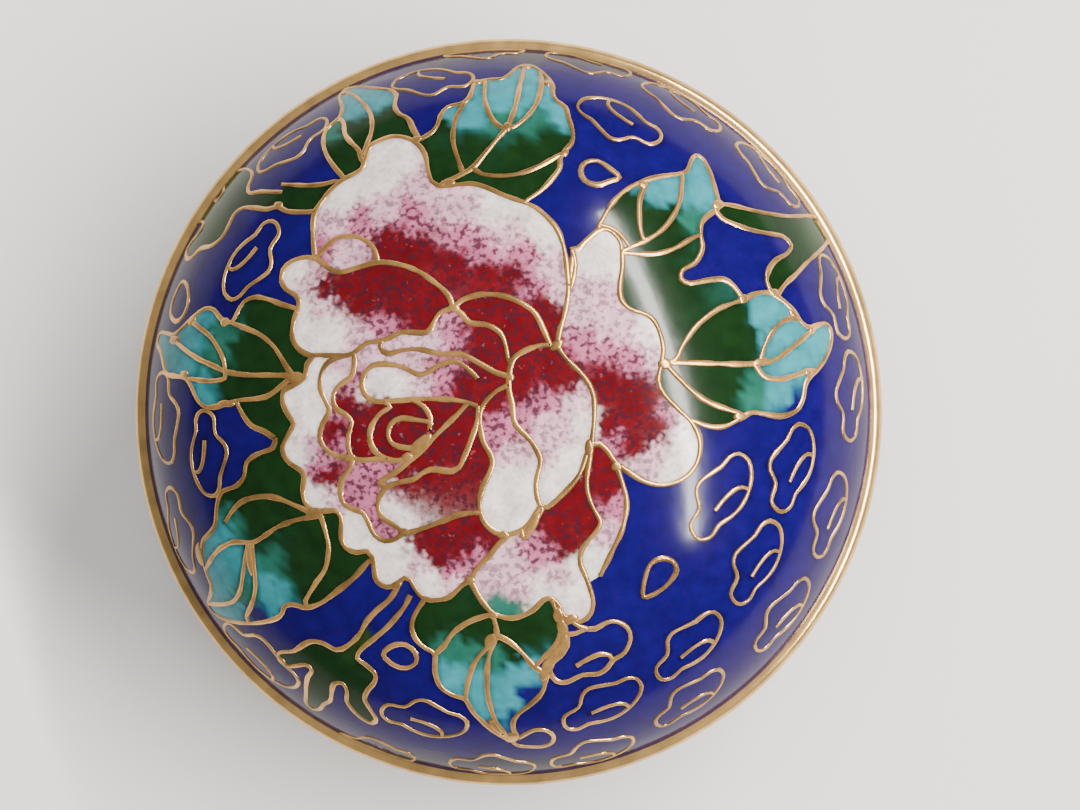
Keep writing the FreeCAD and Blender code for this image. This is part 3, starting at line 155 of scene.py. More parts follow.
LEAF_UPPER = {
    "l1_left": [
        (-5.65, 18.05), (-4.85, 18.6), (-4.5, 19.2), (-4.35, 20), (-3.9, 20.75), (-2.9, 21.05),
        (-2.45, 21.6), (-2.3, 22.4), (-2.1, 23.1), (-1.2, 23.42), (-0.2, 23.55), (0.3, 24.1),
        (0.8, 24.95), (1.45, 25.35), (2.1, 25.1), (2.8, 24.15), (3.3, 23), (3.35, 21.9), (3.6, 21.25),
        (4.15, 20.7), (4.35, 19.7), (4.6, 18.5), (4.5, 17.7), (3.95, 16.95), (3.7, 16.4), (3.7, 15.8),
        (3.2, 15), (2.5, 14.15), (1.6, 13.45)],
    "l1_vein_a": [
        (-2.7, 15.55), (-3, 16.4), (-3.35, 17.6), (-3.4, 18.9), (-3.2, 20), (-2.75, 21)],
    "l1_vein_b": [
        (-3.9, 14.7), (-3, 15.15), (-2, 15.8), (-1.2, 16.85), (-0.4, 17.95), (0.2, 18.8)],
    "l1_tip_a": [
        (0.1, 18.7), (-0.6, 19.2), (-1.1, 20.2), (-1.4, 21.5), (-1.45, 23.3)],
    "l1_tip_b": [
        (0.2, 18.8), (0.5, 19.7), (0.8, 21), (1, 22.5), (1.2, 24), (1.35, 25.2)],
    "l1_tip_c": [
        (0.2, 18.75), (0.9, 19.05), (1.7, 20), (2.25, 21.2), (2.5, 22.4), (2.6, 23.6), (2.5, 24.4)],
    "l1_low": [
        (-2, 15.75), (-1.4, 15.3), (-0.3, 15.15), (1, 15.3), (2.2, 15.8), (3.1, 16.35), (3.8, 16.8)],
    "l2_a": [
        (6.1, 11.55), (6.4, 12.15), (7.05, 13.3), (7.9, 14.25), (9.1, 15), (10.4, 15.5), (11.8, 15.85),
        (12.4, 16.2), (12.75, 17), (13.2, 17.6), (13.7, 17.4), (14.1, 16.4), (14.3, 15.2), (14.5, 13.8),
        (14.2, 13.35), (13.6, 12.9), (13.1, 12.3), (13, 11.4), (13.05, 10.5), (12.5, 9.5), (11.6, 8.95),
        (11.5, 8.35), (12.1, 8.1), (13.3, 8.35), (14.4, 8.5), (15.1, 8.1), (15.8, 7.2)],
    "l2_left": [
        (9.3, 14.7), (8.95, 13.8), (8.85, 12.6), (8.9, 11.5), (9.1, 10.85)],
    "l2_mid": [
        (12, 15.85), (11.85, 14.8), (11.6, 13.6), (11.1, 12.6), (10.3, 11.6), (9.3, 10.9), (8.1, 10.3),
        (7.65, 10.1)],
    "l2_low": [
        (13, 11.5), (12.3, 11.15), (11.3, 10.5), (10.2, 10.05), (9, 9.9), (7.75, 9.95)],
    "l2_root": [
        (6.45, 11.75), (7.2, 11.5), (7.85, 10.8), (8.15, 10.3)],
    "l7_left": [
        (-10.7, 15.4), (-11.5, 16.4), (-12.2, 17.4), (-12.7, 18.5), (-12.85, 19.6), (-12.5, 20.45),
        (-12, 21), (-11.95, 21.9), (-12.35, 23), (-12.85, 24.1), (-12.8, 25.2), (-12.9, 26.2)],
    "l7_vein_a": [
        (-12, 21), (-11.5, 20.4), (-11.15, 19.2), (-10.6, 18.4), (-9.9, 17.6), (-9.6, 16.8)],
    "l7_vein_b": [
        (-12.75, 24.6), (-11.9, 24.1), (-10.9, 23), (-10, 21.7), (-9.4, 20.6), (-9.15, 19.3),
        (-9.3, 18.2), (-9.55, 17.3)],
    "l7_right": [
        (-12.6, 25.4), (-11.6, 25), (-10.4, 24.3), (-9.2, 23.65), (-8.3, 23.2), (-7.8, 22.5),
        (-7.75, 21.3), (-7.3, 20.45), (-6.6, 19.9), (-6.1, 18.8), (-5.7, 18.1)],
}
LEAF_SIDE = {
    "l3_top": [
        (10.2, 2.7), (11, 3.1), (11.5, 4.05), (12.45, 5.3), (13.7, 6.3), (14.6, 6.75), (15.8, 7.2),
        (16.7, 7.65), (17.8, 7.8), (18.8, 7.35), (19.7, 6.65), (20.3, 5.9), (21, 5.65), (21.7, 5.85),
        (22.5, 6.1), (23.05, 5.8), (23.1, 5), (22.5, 3.8), (21.6, 2.85), (20.75, 2.2), (20.35, 1.6),
        (20.15, 0.7), (19.6, -0.1), (18.4, -0.48), (17.2, -0.35), (16.2, -0.25), (15.4, -0.65),
        (14.3, -1.15), (13.2, -1.15), (12, -0.75)],
    "l3_mid": [
        (10.2, 2.9), (12.5, 2.9), (15, 2.88), (16.4, 2.95), (17.8, 3.2), (19, 3.9), (20.2, 4.75),
        (21.2, 5.5)],
    "l3_loop": [
        (16.9, 3.15), (17.2, 4.1), (17.9, 5.2), (18.8, 5.95), (19.7, 6.2), (20.2, 6)],
    "l3_branch": [
        (16.5, 2.9), (17.1, 2.15), (18.2, 1.95), (19.3, 2.2), (20.6, 2.6), (21.2, 2.6)],
    "l3_low": [
        (10.3, 2.8), (11, 2.1), (12.2, 1), (13.3, 0.35), (14.5, -0.05), (15.4, -0.35)],
    "l5_top": [
        (-14.85, -1.9), (-15, -2.55), (-16.2, -3), (-17, -3.55), (-17.25, -4.5), (-17.9, -5.15),
        (-19.1, -5.6), (-19.6, -6.6), (-19.9, -7.9), (-20.6, -8.65), (-21.4, -9.3), (-21.75, -10.4),
        (-21.7, -11.6), (-21.45, -12.8), (-22, -13.8), (-22.7, -14.7), (-22.2, -15.4), (-20.7, -15.55),
        (-18.6, -15.27), (-16.6, -14.73), (-15.3, -14.1), (-14.8, -13.3), (-14.1, -13.1),
        (-13.2, -13.25), (-12.1, -12.85), (-10.96, -12), (-9.6, -10.9), (-8.6, -9.8)],
    "l5_vein_a": [
        (-18.95, -7.65), (-18.2, -6.75), (-17.3, -6.1), (-16, -5.78), (-14.8, -5.85), (-13.4, -6.35),
        (-12.4, -6.7)],
    "l5_vein_b": [
        (-12, -6.95), (-13.5, -7.25), (-14.9, -7.8), (-16, -8.5), (-16.9, -8.95), (-18.3, -9),
        (-19.5, -9.5), (-20.5, -10.25), (-21.6, -11.4)],
    "l5_vein_c": [
        (-17.2, -9), (-17.6, -10.2), (-18, -11.5), (-18.5, -12.7), (-19.4, -13.65), (-20.8, -14.2),
        (-22.6, -14.65)],
    "l5_vein_d": [
        (-16.9, -9), (-16.9, -10.6), (-17, -12.1), (-17.5, -13.4), (-18.35, -14.7)],
    "l5_vein_e": [
        (-11.8, -6.8), (-11.5, -7.8), (-11.3, -9), (-11.6, -10.4), (-12.3, -11.4), (-13.2, -12.75)],
    "l6_low": [
        (-14.85, -1.95), (-15.6, -1.5), (-16.6, -1.1), (-17.3, -0.3), (-17.75, 0.5)],
    "l6_top": [
        (-13.35, 6.45), (-14.55, 6.85), (-15.6, 7.25), (-16.6, 7.45), (-17.4, 7.2), (-17.9, 6.5),
        (-18.3, 5.85), (-19.1, 6.05), (-20, 6.85), (-20.9, 7), (-22, 6.5), (-23.1, 5.9), (-24.1, 5.5),
        (-25.3, 5.75), (-26.4, 5.95), (-26.8, 5.1), (-25.9, 4.4), (-25.3, 3.5), (-24.7, 2.65),
        (-23.5, 2.4), (-22.3, 2.2), (-21.7, 1.6), (-21.1, 0.7), (-20.3, 0.15), (-19.1, 0.2),
        (-17.7, 0.55), (-16, 0.68), (-15.2, 0.9), (-14.2, 1.6), (-13.6, 2.1)],
    "l6_up": [
        (-18.3, 5.8), (-17, 5.3), (-16, 4.85), (-15, 4.05), (-14.3, 3.1), (-13.6, 2.2), (-12.8, 2.1)],
    "l6_mid": [
        (-24.3, 5.3), (-22.7, 4.3), (-21, 3.45), (-19.5, 2.88), (-18.6, 2.5), (-17, 2.25), (-15, 2.18),
        (-13.3, 2.1)],
    "l6_loop": [
        (-22.1, 6.3), (-21.3, 5.75), (-20.2, 5.05), (-19.3, 4.1), (-18.8, 3.2), (-18.7, 2.6)],
    "l6_under": [
        (-21.9, 2.15), (-20.9, 2), (-19.7, 1.92), (-18.7, 2.05)],
}
LEAF_LOWER = {
    "l4_left": [
        (-5, -12.2), (-5.7, -13.3), (-5.95, -14.2), (-5.7, -15.1), (-5.1, -15.7), (-4.5, -16.1),
        (-4.55, -17.3), (-4.25, -18.5), (-3.5, -19.15), (-2.6, -19.5), (-2.15, -20.5), (-1.5, -21.4),
        (-0.7, -22.4), (0.2, -23.15), (0.6, -23.3), (0.95, -23), (0.65, -22.3), (0.6, -21.4),
        (0.95, -20.7), (1.8, -19.85), (2.5, -19), (2.75, -18.1), (2.6, -17.4), (2.1, -17)],
    "l4_vein_a": [
        (-4.45, -16.05), (-3.9, -15.5), (-3.2, -14.5), (-2.2, -13.75), (-1.2, -13.35), (-0.6, -13.2)],
    "l4_stem": [
        (-0.65, -13.3), (-0.45, -14), (-0.4, -14.75)],
    "l4_vein_b": [
        (-0.4, -14.75), (-1, -15.5), (-1.8, -16.5), (-2.25, -17.6), (-2.5, -18.8), (-2.6, -19.5)],
    "l4_vein_c": [
        (-0.6, -15.1), (-0.95, -16.2), (-1.1, -17.6), (-1.08, -19), (-0.9, -20.2), (-0.55, -21.5),
        (0.1, -22.7)],
    "l4_vein_c2": [
        (-0.95, -21.3), (-0.7, -22), (-0.3, -22.5)],
    "l4_right": [
        (-0.35, -14.7), (0.5, -15.2), (1.3, -16), (2, -16.95), (2.6, -17.4)],
    "l4_band_in": [
        (3.15, -12.3), (3.5, -13.2), (3.75, -14.2), (3.5, -15.2), (2.8, -16.1), (2.1, -16.9)],
    "l4_band_out": [
        (3.95, -13.4), (4, -14.3), (4.15, -15.2), (3.9, -16), (3.2, -16.7), (2.95, -17.4), (2.75, -18.1)],
    "cloud_join": [
        (4.1, -14.65), (4.7, -14.6), (5.4, -14.3), (6, -14.3), (6.7, -13.9), (7.4, -13.85), (8.1, -14.3),
        (8.35, -15.1), (8, -16.1), (7.25, -16.6), (6.9, -17.15), (6.3, -17.6), (5.2, -17.65),
        (4.2, -18.15), (3.5, -18.05), (3.1, -17.4), (3.1, -16.8)],
    "cloud_join_hook": [
        (4.8, -16.95), (5.5, -16.5), (6.3, -16.15), (7, -16.25), (7.2, -16.6)],
    "hole_side": [
        (4.5, -13.75), (4.9, -14.1), (5.4, -14.25)],
    "loop": [
        (0.9, -23.1), (1.4, -22.65), (2.1, -22.2), (2.9, -22.3), (3.4, -22.9), (3.35, -23.6),
        (2.7, -24.05), (1.6, -24), (0.9, -23.85), (0.5, -23.35)],
}
STEM = {
    "right_up": [
        (14.5, 13.85), (15.6, 13.88), (17.2, 13.76), (18.8, 13.82), (20.4, 14.04), (22, 14.55),
        (23.6, 15.15), (25.2, 15.65)],
    "right_low": [
        (14.2, 13.3), (14.6, 12.8), (15.4, 12.5), (16.8, 12.2), (18.4, 12.15), (19.5, 12.15),
        (20.15, 11.6), (19.6, 10.85), (18.6, 10.25), (17.9, 9.5), (17.62, 8.6), (17.9, 7.85)],
    "right_side": [
        (18.3, 7.6), (19.1, 8.5), (20.2, 9.4), (21.4, 10.45), (22.7, 11.4), (23.9, 12.3), (24.9, 13.1),
        (26.4, 14)],
    "left_up": [
        (-11.2, 15.3), (-12.2, 15.15), (-13.4, 15.2), (-14.6, 15.45), (-15.5, 15.65)],
    "left_up_b": [
        (-15.35, 15), (-16.3, 15.2), (-17.3, 15.45), (-18.4, 15.6), (-18.75, 16.2), (-18.7, 17.2),
        (-19.2, 18), (-20.3, 18.7), (-21.5, 19.15), (-22.5, 19.9)],
    "left_gap": [
        (-15.5, 15.65), (-15.35, 15)],
    "left_low": [
        (-12.6, 13.15), (-13.6, 13.2), (-14.7, 13.4), (-15.5, 13.85), (-16.4, 13.8), (-17.4, 14.1),
        (-18.6, 14.38), (-19.4, 14.1), (-19.75, 13.2), (-20.2, 12.3), (-21.2, 11.85), (-22.5, 11.95),
        (-23.4, 11.5), (-24.4, 11.6), (-24.85, 12.3), (-24.4, 13.1), (-23.3, 13.8), (-23.4, 14.5),
        (-24.3, 15), (-25.6, 15.5)],
    "left_notch": [
        (-23.7, 19), (-22.8, 18.1), (-22, 16.9), (-22.6, 16.4), (-23.7, 17.15), (-24.5, 17.65)],
    "tail_a": [
        (-6.75, -11.4), (-7.3, -12.3), (-8.3, -13.2), (-9, -14), (-9.6, -15), (-10.5, -15.85),
        (-11.3, -16.2), (-12.2, -15.8), (-13.1, -15.75), (-13.9, -16.2), (-14.7, -16.8), (-15.8, -17.1),
        (-16.2, -17.5), (-15.7, -18.3), (-14.9, -18.15), (-13.9, -17.8), (-13.5, -18.2), (-14, -18.95),
        (-14.4, -19.9), (-14.7, -20.9), (-15.1, -22), (-14.6, -22.6), (-13.9, -22.3), (-13.3, -21.5),
        (-12.6, -20.9), (-12.25, -19.9), (-11.9, -19.1), (-11.2, -18.95), (-11, -19.6), (-11.2, -20.6),
        (-10.8, -21.6), (-10.2, -22.3), (-9.6, -22.55), (-9.2, -22), (-9.5, -21), (-9.75, -20.1),
        (-9.4, -19.3), (-8.8, -18.5), (-8.7, -17.8), (-9.3, -17.15), (-9.85, -16.7), (-9.5, -16),
        (-8.6, -15.2), (-7.7, -14.4), (-6.9, -13.5), (-6.3, -12.7), (-5.95, -12)],
    "tail_gap": [
        (-5.95, -12), (-6.1, -11)],
}
DROP = {
    "drop_a": [
        (7.6, 15.25), (6.9, 15.95), (6.2, 16.4), (5.4, 16.25), (5.05, 15.6), (5.3, 14.9), (6.1, 14.6),
        (7, 14.95), (7.6, 15.25)],
    "drop_b": [
        (9.1, -12.2), (9.15, -11), (9.5, -10), (10.2, -9.65), (10.95, -9.85), (11.25, -10.5),
        (10.8, -11.3), (10, -11.95), (9.1, -12.2)],
    "drop_c": [
        (-8, -16.3), (-7.3, -15.6), (-6.4, -15.5), (-5.8, -16.05), (-5.8, -16.8), (-6.5, -17.22),
        (-7.3, -17.05), (-8, -16.3)],
    "drop_d": [
        (-24.1, 9.6), (-23.4, 9.2), (-22.9, 8.4), (-22.8, 7.4), (-23.3, 6.65), (-24.1, 6.48), (-24.9, 7),
        (-25.1, 7.9), (-24.8, 8.8), (-24.1, 9.6)],
}
# each cloud: its small end, its big end
CLOUDS = [
    ((12.7, -8.45), (15.6, -2.95)), ((18.6, -6.87), (20.1, -0.95)), ((15.9, -13.17), (18, -7.45)),
    ((22.8, -10.67), (23.9, -4.4)), ((10.7, -18.4), (14.3, -13.65)), ((11.3, -23.25), (15.4, -18.5)),
    ((18.5, -17.6), (21.8, -12.15)), ((4.3, -22.1), (9.15, -18.3)), ((3.5, -26.9), (9.5, -24.3)),
    ((-4.3, -26.9), (2.25, -27)), ((-8.65, -21.3), (-2.5, -21.7)), ((-13.4, -26.2), (-7, -26.7)),
    ((-21.5, -16.5), (-15, -19.9)), ((-24.8, -5.7), (-23.7, -12.3)), ((-25.6, 2.75), (-24.3, -3.9)),
    ((-20.6, -0.1), (-19.9, -5.98)), ((-15.7, 12.75), (-18.7, 7.45)), ((-13.1, 21.2), (-18.3, 17.6)),
    ((-2.3, 23.7), (-8.4, 23.9)), ((1.3, 28.6), (-5, 28.2)), ((9.6, 26.2), (2.95, 27.5)),
    ((10.75, 18.7), (5, 21.1)), ((16.1, 21.2), (10.2, 24.6)), ((22.3, 15.7), (17.2, 20)),
    ((25, 5.3), (23.5, 11.65)), ((25.1, -2.2), (25.3, 4.4)),
]
CLOUD = [
    (0, -0.04), (0.09, -0.16), (0.28, -0.16), (0.41, -0.27), (0.52, -0.29), (0.66, -0.22), (0.78, -0.15),
    (0.9, -0.12), (0.985, -0.04), (0.97, 0.09), (0.88, 0.18), (0.76, 0.235), (0.62, 0.26), (0.48, 0.25),
    (0.35, 0.2), (0.22, 0.125), (0.1, 0.115), (0.02, 0.06), (0, -0.04)]
CLOUD_HOOK = [(0.34, 0.01), (0.48, 0.04), (0.61, 0.09), (0.69, 0.16), (0.7, 0.245)]

WIRE_SETS = {
    "flower_outline_wires": FLOWER_OUTLINE,
    "flower_inner_wires": FLOWER_INNER,
    "leaf_upper_wires": LEAF_UPPER,
    "leaf_side_wires": LEAF_SIDE,
    "leaf_lower_wires": LEAF_LOWER,
    "stem_wires": STEM,
    "drop_wires": DROP,
}
UNSEEN = ("small_gap", "left_gap", "tail_gap")     # joins that close a cell without a wire on show

METAL = 0.75               # tarnish makes worn brass a little matt
WIRE_STEP = 0.35           # longest straight piece of a bent wire
CUT_STEP = 0.4             # and of the lines that part the cells
MEET = 0.02                # ends of a stroke nearer than this are one point
CLOUD_MARGIN = 0.35        # clouds stay this far from the drawing's edge
RIM_POINTS = 240           # round the drawing's edge
LARGEST_CELL = 300.0       # square millimetres; what is larger is the ground
SINK = 0.35                # a wire goes this far down into the enamel
WIRE_TOP = 0.55            # share of a wire's width that is flat on top
WANDER = 0.35              # how unevenly wide the wires are
FLOWER_REACH = 15.5        # the flower lies inside this, and is meshed finer
JOIN_REACH = 0.7           # a wire end this near another wire is joined to it

# colours of the glass, linear, and a painted reflection for the lid's edge
WHITE = (0.60, 0.53, 0.50)
PINK = (0.34, 0.10, 0.17)
PALE = (0.50, 0.29, 0.35)
RED = (0.085, 0.003, 0.005)
GREEN = (0.004, 0.018, 0.004)
TURQ = (0.025, 0.18, 0.21)
MID = (0.012, 0.085, 0.06)
OLIVE = (0.012, 0.03, 0.006)
BLUE = (0.006, 0.001, 0.07)
# painted reflection: the warm sheen the glass mirrors by the rim, darker and violet
RIM_REFLECTION_VIOLET = (0.014, 0.002, 0.04)

# enamel pieces: seeds that lie in their cells, then colour spots (place, colour)
CELLS = {
    "petal_top_enamel": ([(-7, 13), (-10, 10)], [
        ((-7, 17), WHITE), ((-11, 14.3), WHITE), ((-9, 15), WHITE), ((-5, 14.6), PALE),
        ((0, 13), WHITE), ((3, 11), WHITE),
        ((3.5, 7.4), PALE), ((-3, 12.6), PALE), ((-8, 13), PALE), ((-11.4, 12), PALE),
        ((-9, 12.2), PINK), ((-6, 12.4), PINK),
        ((-3, 11), PINK), ((0, 11), PALE), ((-1, 10), PINK), ((-7.2, 10.8), RED), ((-5, 10.2), RED),
        ((-3, 9.2), RED),
        ((-1, 8.4), RED), ((0.6, 8.2), RED), ((2, 7.6), PINK), ((-6.2, 9.8), RED), ((2.6, 6.4), RED),
        ((-10.2, 10.2), PALE),
        ((1.2, 9.6), PINK), ((3, 9.2), PALE), ((-11.4, 10.6), PINK), ((3.4, 5.4), RED)]),
    "petal_left_enamel": ([(-9, 6.5)], [
        ((-13.8, 9), WHITE), ((-13.1, 6), WHITE), ((-12.6, 8.6), PALE), ((-11.4, 8), RED),
        ((-10, 7.6), RED), ((-8, 8.2), RED),
        ((-6, 7.4), RED), ((-7, 6.4), RED), ((-9, 6.6), RED), ((-4.6, 6.8), RED), ((-11, 5), WHITE),
        ((-12.7, 4.3), WHITE),
        ((-9.4, 4.8), PALE), ((-7.4, 5.2), PINK), ((-5.4, 5.6), RED), ((-11.4, 6.4), PALE)]),
    "petal_crescent_enamel": ([(0, 6)], [((0, 6), RED), ((2, 4.5), RED), ((-2, 6.2), RED)]),
    "petal_right_enamel": ([(8, 2), (3, 0)], [
        ((6, 10.7), WHITE), ((5.5, 9.4), WHITE), ((6.8, 9.4), WHITE), ((5, 7.6), PALE),
        ((6.6, 7.4), PALE), ((5, 6), PALE),
        ((6.4, 5.4), PALE), ((5, 4), PINK), ((7.5, 5), PALE), ((9.4, 5), WHITE), ((9.6, 3.6), PALE),
        ((6.5, 3.6), PINK),
        ((8, 3), PINK), ((6.4, 2), RED), ((6.6, 0.6), RED), ((8, 1.2), RED), ((8, -0.6), RED),
        ((9.2, 0.4), RED),
        ((6.8, -1.2), RED), ((9.6, -1.4), RED), ((8.2, -2.4), RED), ((6.8, -2.2), PINK),
        ((9.6, -3), PALE), ((11.8, -1.8), WHITE),
        ((10.8, -3.8), WHITE), ((8.8, -3.8), PALE), ((10.6, -0.4), PINK), ((2, 3), RED),
        ((1.2, 2), RED), ((3.2, 3), RED),
        ((4.2, 2), RED), ((3, 1.6), RED), ((1.2, 0.8), RED), ((4.8, 0.6), PALE), ((2.6, 0.4), PINK),
        ((1.4, -0.4), PINK),
        ((3.8, -1.2), PALE), ((2.4, -1.4), PALE), ((5.2, -1), WHITE), ((2.8, -2.8), PALE),
        ((4.2, -3.4), WHITE),
        ((3.2, -5.2), WHITE)]),
    "petal_small_enamel": ([(6.5, -5)], [
        ((6.3, -3.2), RED), ((6.8, -5), RED), ((6, -4.6), RED), ((7.2, -6.4), PINK), ((6.8, -8), PALE),
        ((6, -9.8), WHITE)]),
    "petal_lower_enamel": ([(1, -10.5)], [
        ((4.2, -6), RED), ((3, -7.6), RED), ((4.2, -8.6), RED), ((5.6, -7.3), RED), ((2.2, -9), PINK),
        ((0.4, -9.4), PALE),
        ((-0.8, -10.6), PALE), ((1, -11.4), PALE), ((3.6, -10.6), PALE), ((5, -12.2), WHITE),
        ((2.6, -11.8), WHITE),
        ((0.2, -12.7), MID), ((4.8, -10.2), WHITE)]),
    "petal_lower_left_enamel": ([(-12.2, -4)], [
        ((-12.7, 2.7), WHITE), ((-13.5, 0.4), WHITE), ((-12.4, -1), WHITE), ((-13.4, -3), WHITE),
        ((-12.2, -2.6), PALE),
        ((-11.2, -4.2), RED), ((-11.8, -3.6), PINK), ((-12.2, -5.8), WHITE), ((-10.8, -5.8), PALE),
        ((-9.6, -7.8), WHITE),
        ((-7.6, -10.2), WHITE), ((-6.4, -9.6), WHITE), ((-5.2, -8.4), RED), ((-4, -8.2), RED),
        ((-2.8, -7.6), RED),
        ((-1.6, -7.8), RED), ((-2.6, -9), RED), ((-1.4, -9.2), PINK), ((-4, -9.4), RED),
        ((-4.6, -11), WHITE),
        ((-3, -11), PALE), ((-8, -9), WHITE), ((-0.8, -8.6), RED), ((-5.6, -9.8), PALE),
        ((-3, -10.2), PINK)]),
    "petal_middle_enamel": ([(0.5, -5)], [
        ((0.5, -1), PINK), ((-0.2, 0.4), RED), ((0.3, -2.8), PALE), ((0.6, -4.2), WHITE),
        ((0.4, -6.6), WHITE),
        ((-0.4, -2), PINK)]),
    "petal_fold_enamel": ([(-4, -5.5), (-6, -4.1), (-3.2, -2.6)], [
        ((-7.2, -6), WHITE), ((-6, -7), WHITE), ((-6, -5.6), PALE), ((-4.6, -5.6), PALE),
        ((-3.4, -5.2), PINK), ((-2.6, -4.6), RED),
        ((-1.6, -3), RED), ((-1.8, -5.6), RED), ((-3.4, -6.4), PINK), ((-4, -2.8), RED),
        ((-2.6, -2), RED), ((-6.4, -3.9), RED),
        ((-9, -4.2), RED), ((-8.6, -5.4), PALE), ((-8, -7), WHITE), ((-5, -3.2), RED)]),
    "petal_band_enamel": ([(-2, 4.2)], [
        ((-6.5, 4.1), PALE), ((-4.5, 4.2), PALE), ((-3.2, 4.5), PINK), ((-1.6, 4.4), RED),
        ((-0.3, 3.4), RED)]),
    "petal_heart_enamel": ([(-5, 1.4)], [
        ((-8.2, 1.5), WHITE), ((-6.8, 1.3), WHITE), ((-5.2, 1.3), PALE), ((-3.8, 1.6), PINK),
        ((-2.6, 1.4), RED),
        ((-1, 1.4), RED), ((-0.4, 1.6), RED), ((-1.6, 2.4), RED), ((-9.3, 2), PINK), ((-9.6, 0), RED),
        ((-9.2, -1.2), RED),
        ((-8.6, 3.4), PALE), ((-6, 3.1), PALE), ((-3, 3.1), PINK), ((-8.9, -2.4), RED),
        ((-3.4, 0), RED), ((-7.8, 0), RED),
        ((-4, -2.8), RED), ((-2.6, -2), RED), ((-6.4, -3.9), RED), ((-9, -4.2), RED),
        ((-8.6, -5.4), PALE), ((-8, -7), WHITE),
        ((-5, -3.2), RED)]),
    "petal_spiral_enamel": ([(-7.8, -1.5), (-5.8, -1.6)], [((-7.8, -1.5), RED), ((-5.8, -1.6), RED),
        ((-4, -2), RED)]),
    "petal_side_enamel": ([(-10.4, 2.4)], [
        ((-10.3, 2.6), PALE), ((-11.2, 1.6), WHITE), ((-10.4, -0.2), PINK), ((-10.6, -1.6), RED),
        ((-10, -2.6), PINK)]),
    "leaf_top_enamel": ([(-4.3, 17), (-8.5, 21), (-2, 18), (1.5, 17.3), (-0.3, 21.5), (1.7, 22.5),
        (1.2, 14.5)], [
        ((0, 14.5), GREEN), ((2, 14.8), GREEN),
        ((-5, 19), GREEN), ((-4, 16), GREEN), ((-2, 17.5), GREEN), ((-2.2, 19.8), TURQ),
        ((-2, 21), TURQ), ((-3.6, 21.4), TURQ),
        ((1.2, 16.8), GREEN), ((3, 18), GREEN), ((2.4, 19.6), MID), ((3.8, 20.2), TURQ),
        ((2.6, 21.4), TURQ), ((-0.4, 19.6), MID),
        ((-0.2, 21), TURQ), ((0, 23), TURQ), ((1.7, 24.3), TURQ), ((1.7, 21), TURQ), ((-8, 20), GREEN),
        ((-9, 22.5), TURQ)]),
    "leaf_upper_right_enamel": ([(7.6, 12.8), (10.4, 13.8), (12.8, 14), (11.5, 11.5), (10, 8)], [
        ((7.4, 12.2), GREEN), ((8.2, 13.4), GREEN), ((9.6, 12.5), GREEN), ((10.8, 12.8), GREEN),
        ((10, 14.4), TURQ),
        ((11.2, 14.6), TURQ), ((12.4, 12.6), MID), ((12.8, 14), TURQ), ((13.4, 16), TURQ), ((10, 8), GREEN),
        ((9, 6.6), GREEN), ((11.3, 11.2), GREEN)]),
    "leaf_right_enamel": ([(13.5, 4.8), (18.7, 5), (19.5, 3.2), (21, 4), (18, 1), (14, 1.8),
        (13.2, -0.5)], [
        ((12.6, 4), GREEN), ((15, 5.6), GREEN), ((15.6, 4.2), GREEN), ((17.6, 6.6), TURQ),
        ((19, 6.7), TURQ),
        ((21.6, 5), TURQ), ((18.6, 5), TURQ), ((19.6, 3.2), TURQ), ((22.3, 4.6), TURQ),
        ((12.6, 1.8), GREEN),
        ((15, 1.4), GREEN), ((16.4, 0.9), MID), ((18.6, 1), TURQ), ((19.3, 0.3), BLUE),
        ((12.4, -0.4), GREEN),
        ((14.2, -0.7), GREEN)]),
    "leaf_lower_enamel": ([(-4, -14), (-3.4, -17.3), (-1.7, -18.5), (0.5, -18), (2, -14.6)], [
        ((-4, -13.2), GREEN), ((-2.2, -14.4), GREEN), ((-1, -14), GREEN), ((-3, -15.6), MID),
        ((-3.4, -17.6), TURQ),
        ((-1.6, -18), TURQ), ((-0.8, -16.3), MID), ((0.2, -16), GREEN), ((1.8, -17.2), TURQ),
        ((0.6, -18), TURQ),
        ((1.5, -19), BLUE), ((0.4, -20), TURQ), ((0.3, -20.9), BLUE), ((-0.8, -20.6), TURQ),
        ((2, -14.4), GREEN),
        ((0.4, -14.2), GREEN), ((-5, -14.6), GREEN)]),
    "leaf_lower_left_enamel": ([(-15, -4.5), (-15, -6.5), (-13.5, -9), (-16, -12), (-19.5, -11.5),
        (-17.8, -12.5),
                                (-20.5, -9.3), (-11, -9.5)], [
        ((-14, -4), GREEN), ((-17, -5.2), GREEN), ((-15.6, -3.6), GREEN), ((-15, -1), GREEN),
        ((-14.2, 0.8), GREEN),
        ((-18.4, -6), GREEN), ((-15, -7), GREEN), ((-12.6, -12.2), GREEN), ((-12, -8.5), GREEN),
        ((-14, -10), GREEN), ((-17, -6.6), GREEN), ((-16.4, -8), GREEN),
        ((-18.4, -7.4), MID), ((-19.4, -8.4), TURQ), ((-20.6, -9.8), TURQ), ((-20.8, -12), TURQ),
        ((-19, -11.2), TURQ),
        ((-17.6, -12.6), MID), ((-16.2, -12), TURQ), ((-15.6, -13.4), TURQ), ((-17.2, -14.4), BLUE),
        ((-19.6, -14.8), TURQ),
        ((-15.4, -10.4), MID), ((-10, -10.6), GREEN), ((-11, -9), GREEN)]),
    "leaf_left_enamel": ([(-16.8, 6.5), (-17, 3.8), (-21.6, 5), (-23, 3.3), (-16, 1.5), (-20.7, 6.3),
        (-14, 4.5)], [
        ((-16, 6.4), GREEN), ((-14.2, 4.6), GREEN), ((-17, 3.8), GREEN), ((-19.4, 5.4), MID),
        ((-20.6, 6.2), TURQ),
        ((-22, 5.2), TURQ), ((-24.6, 5), TURQ), ((-22.6, 3.2), TURQ), ((-19.8, 3.4), MID),
        ((-18, 1.4), GREEN),
        ((-15.2, 1.5), GREEN), ((-21, 1.6), TURQ)]),
    "leaf_upper_left_enamel": ([(-11.9, 18), (-10.5, 20)], [
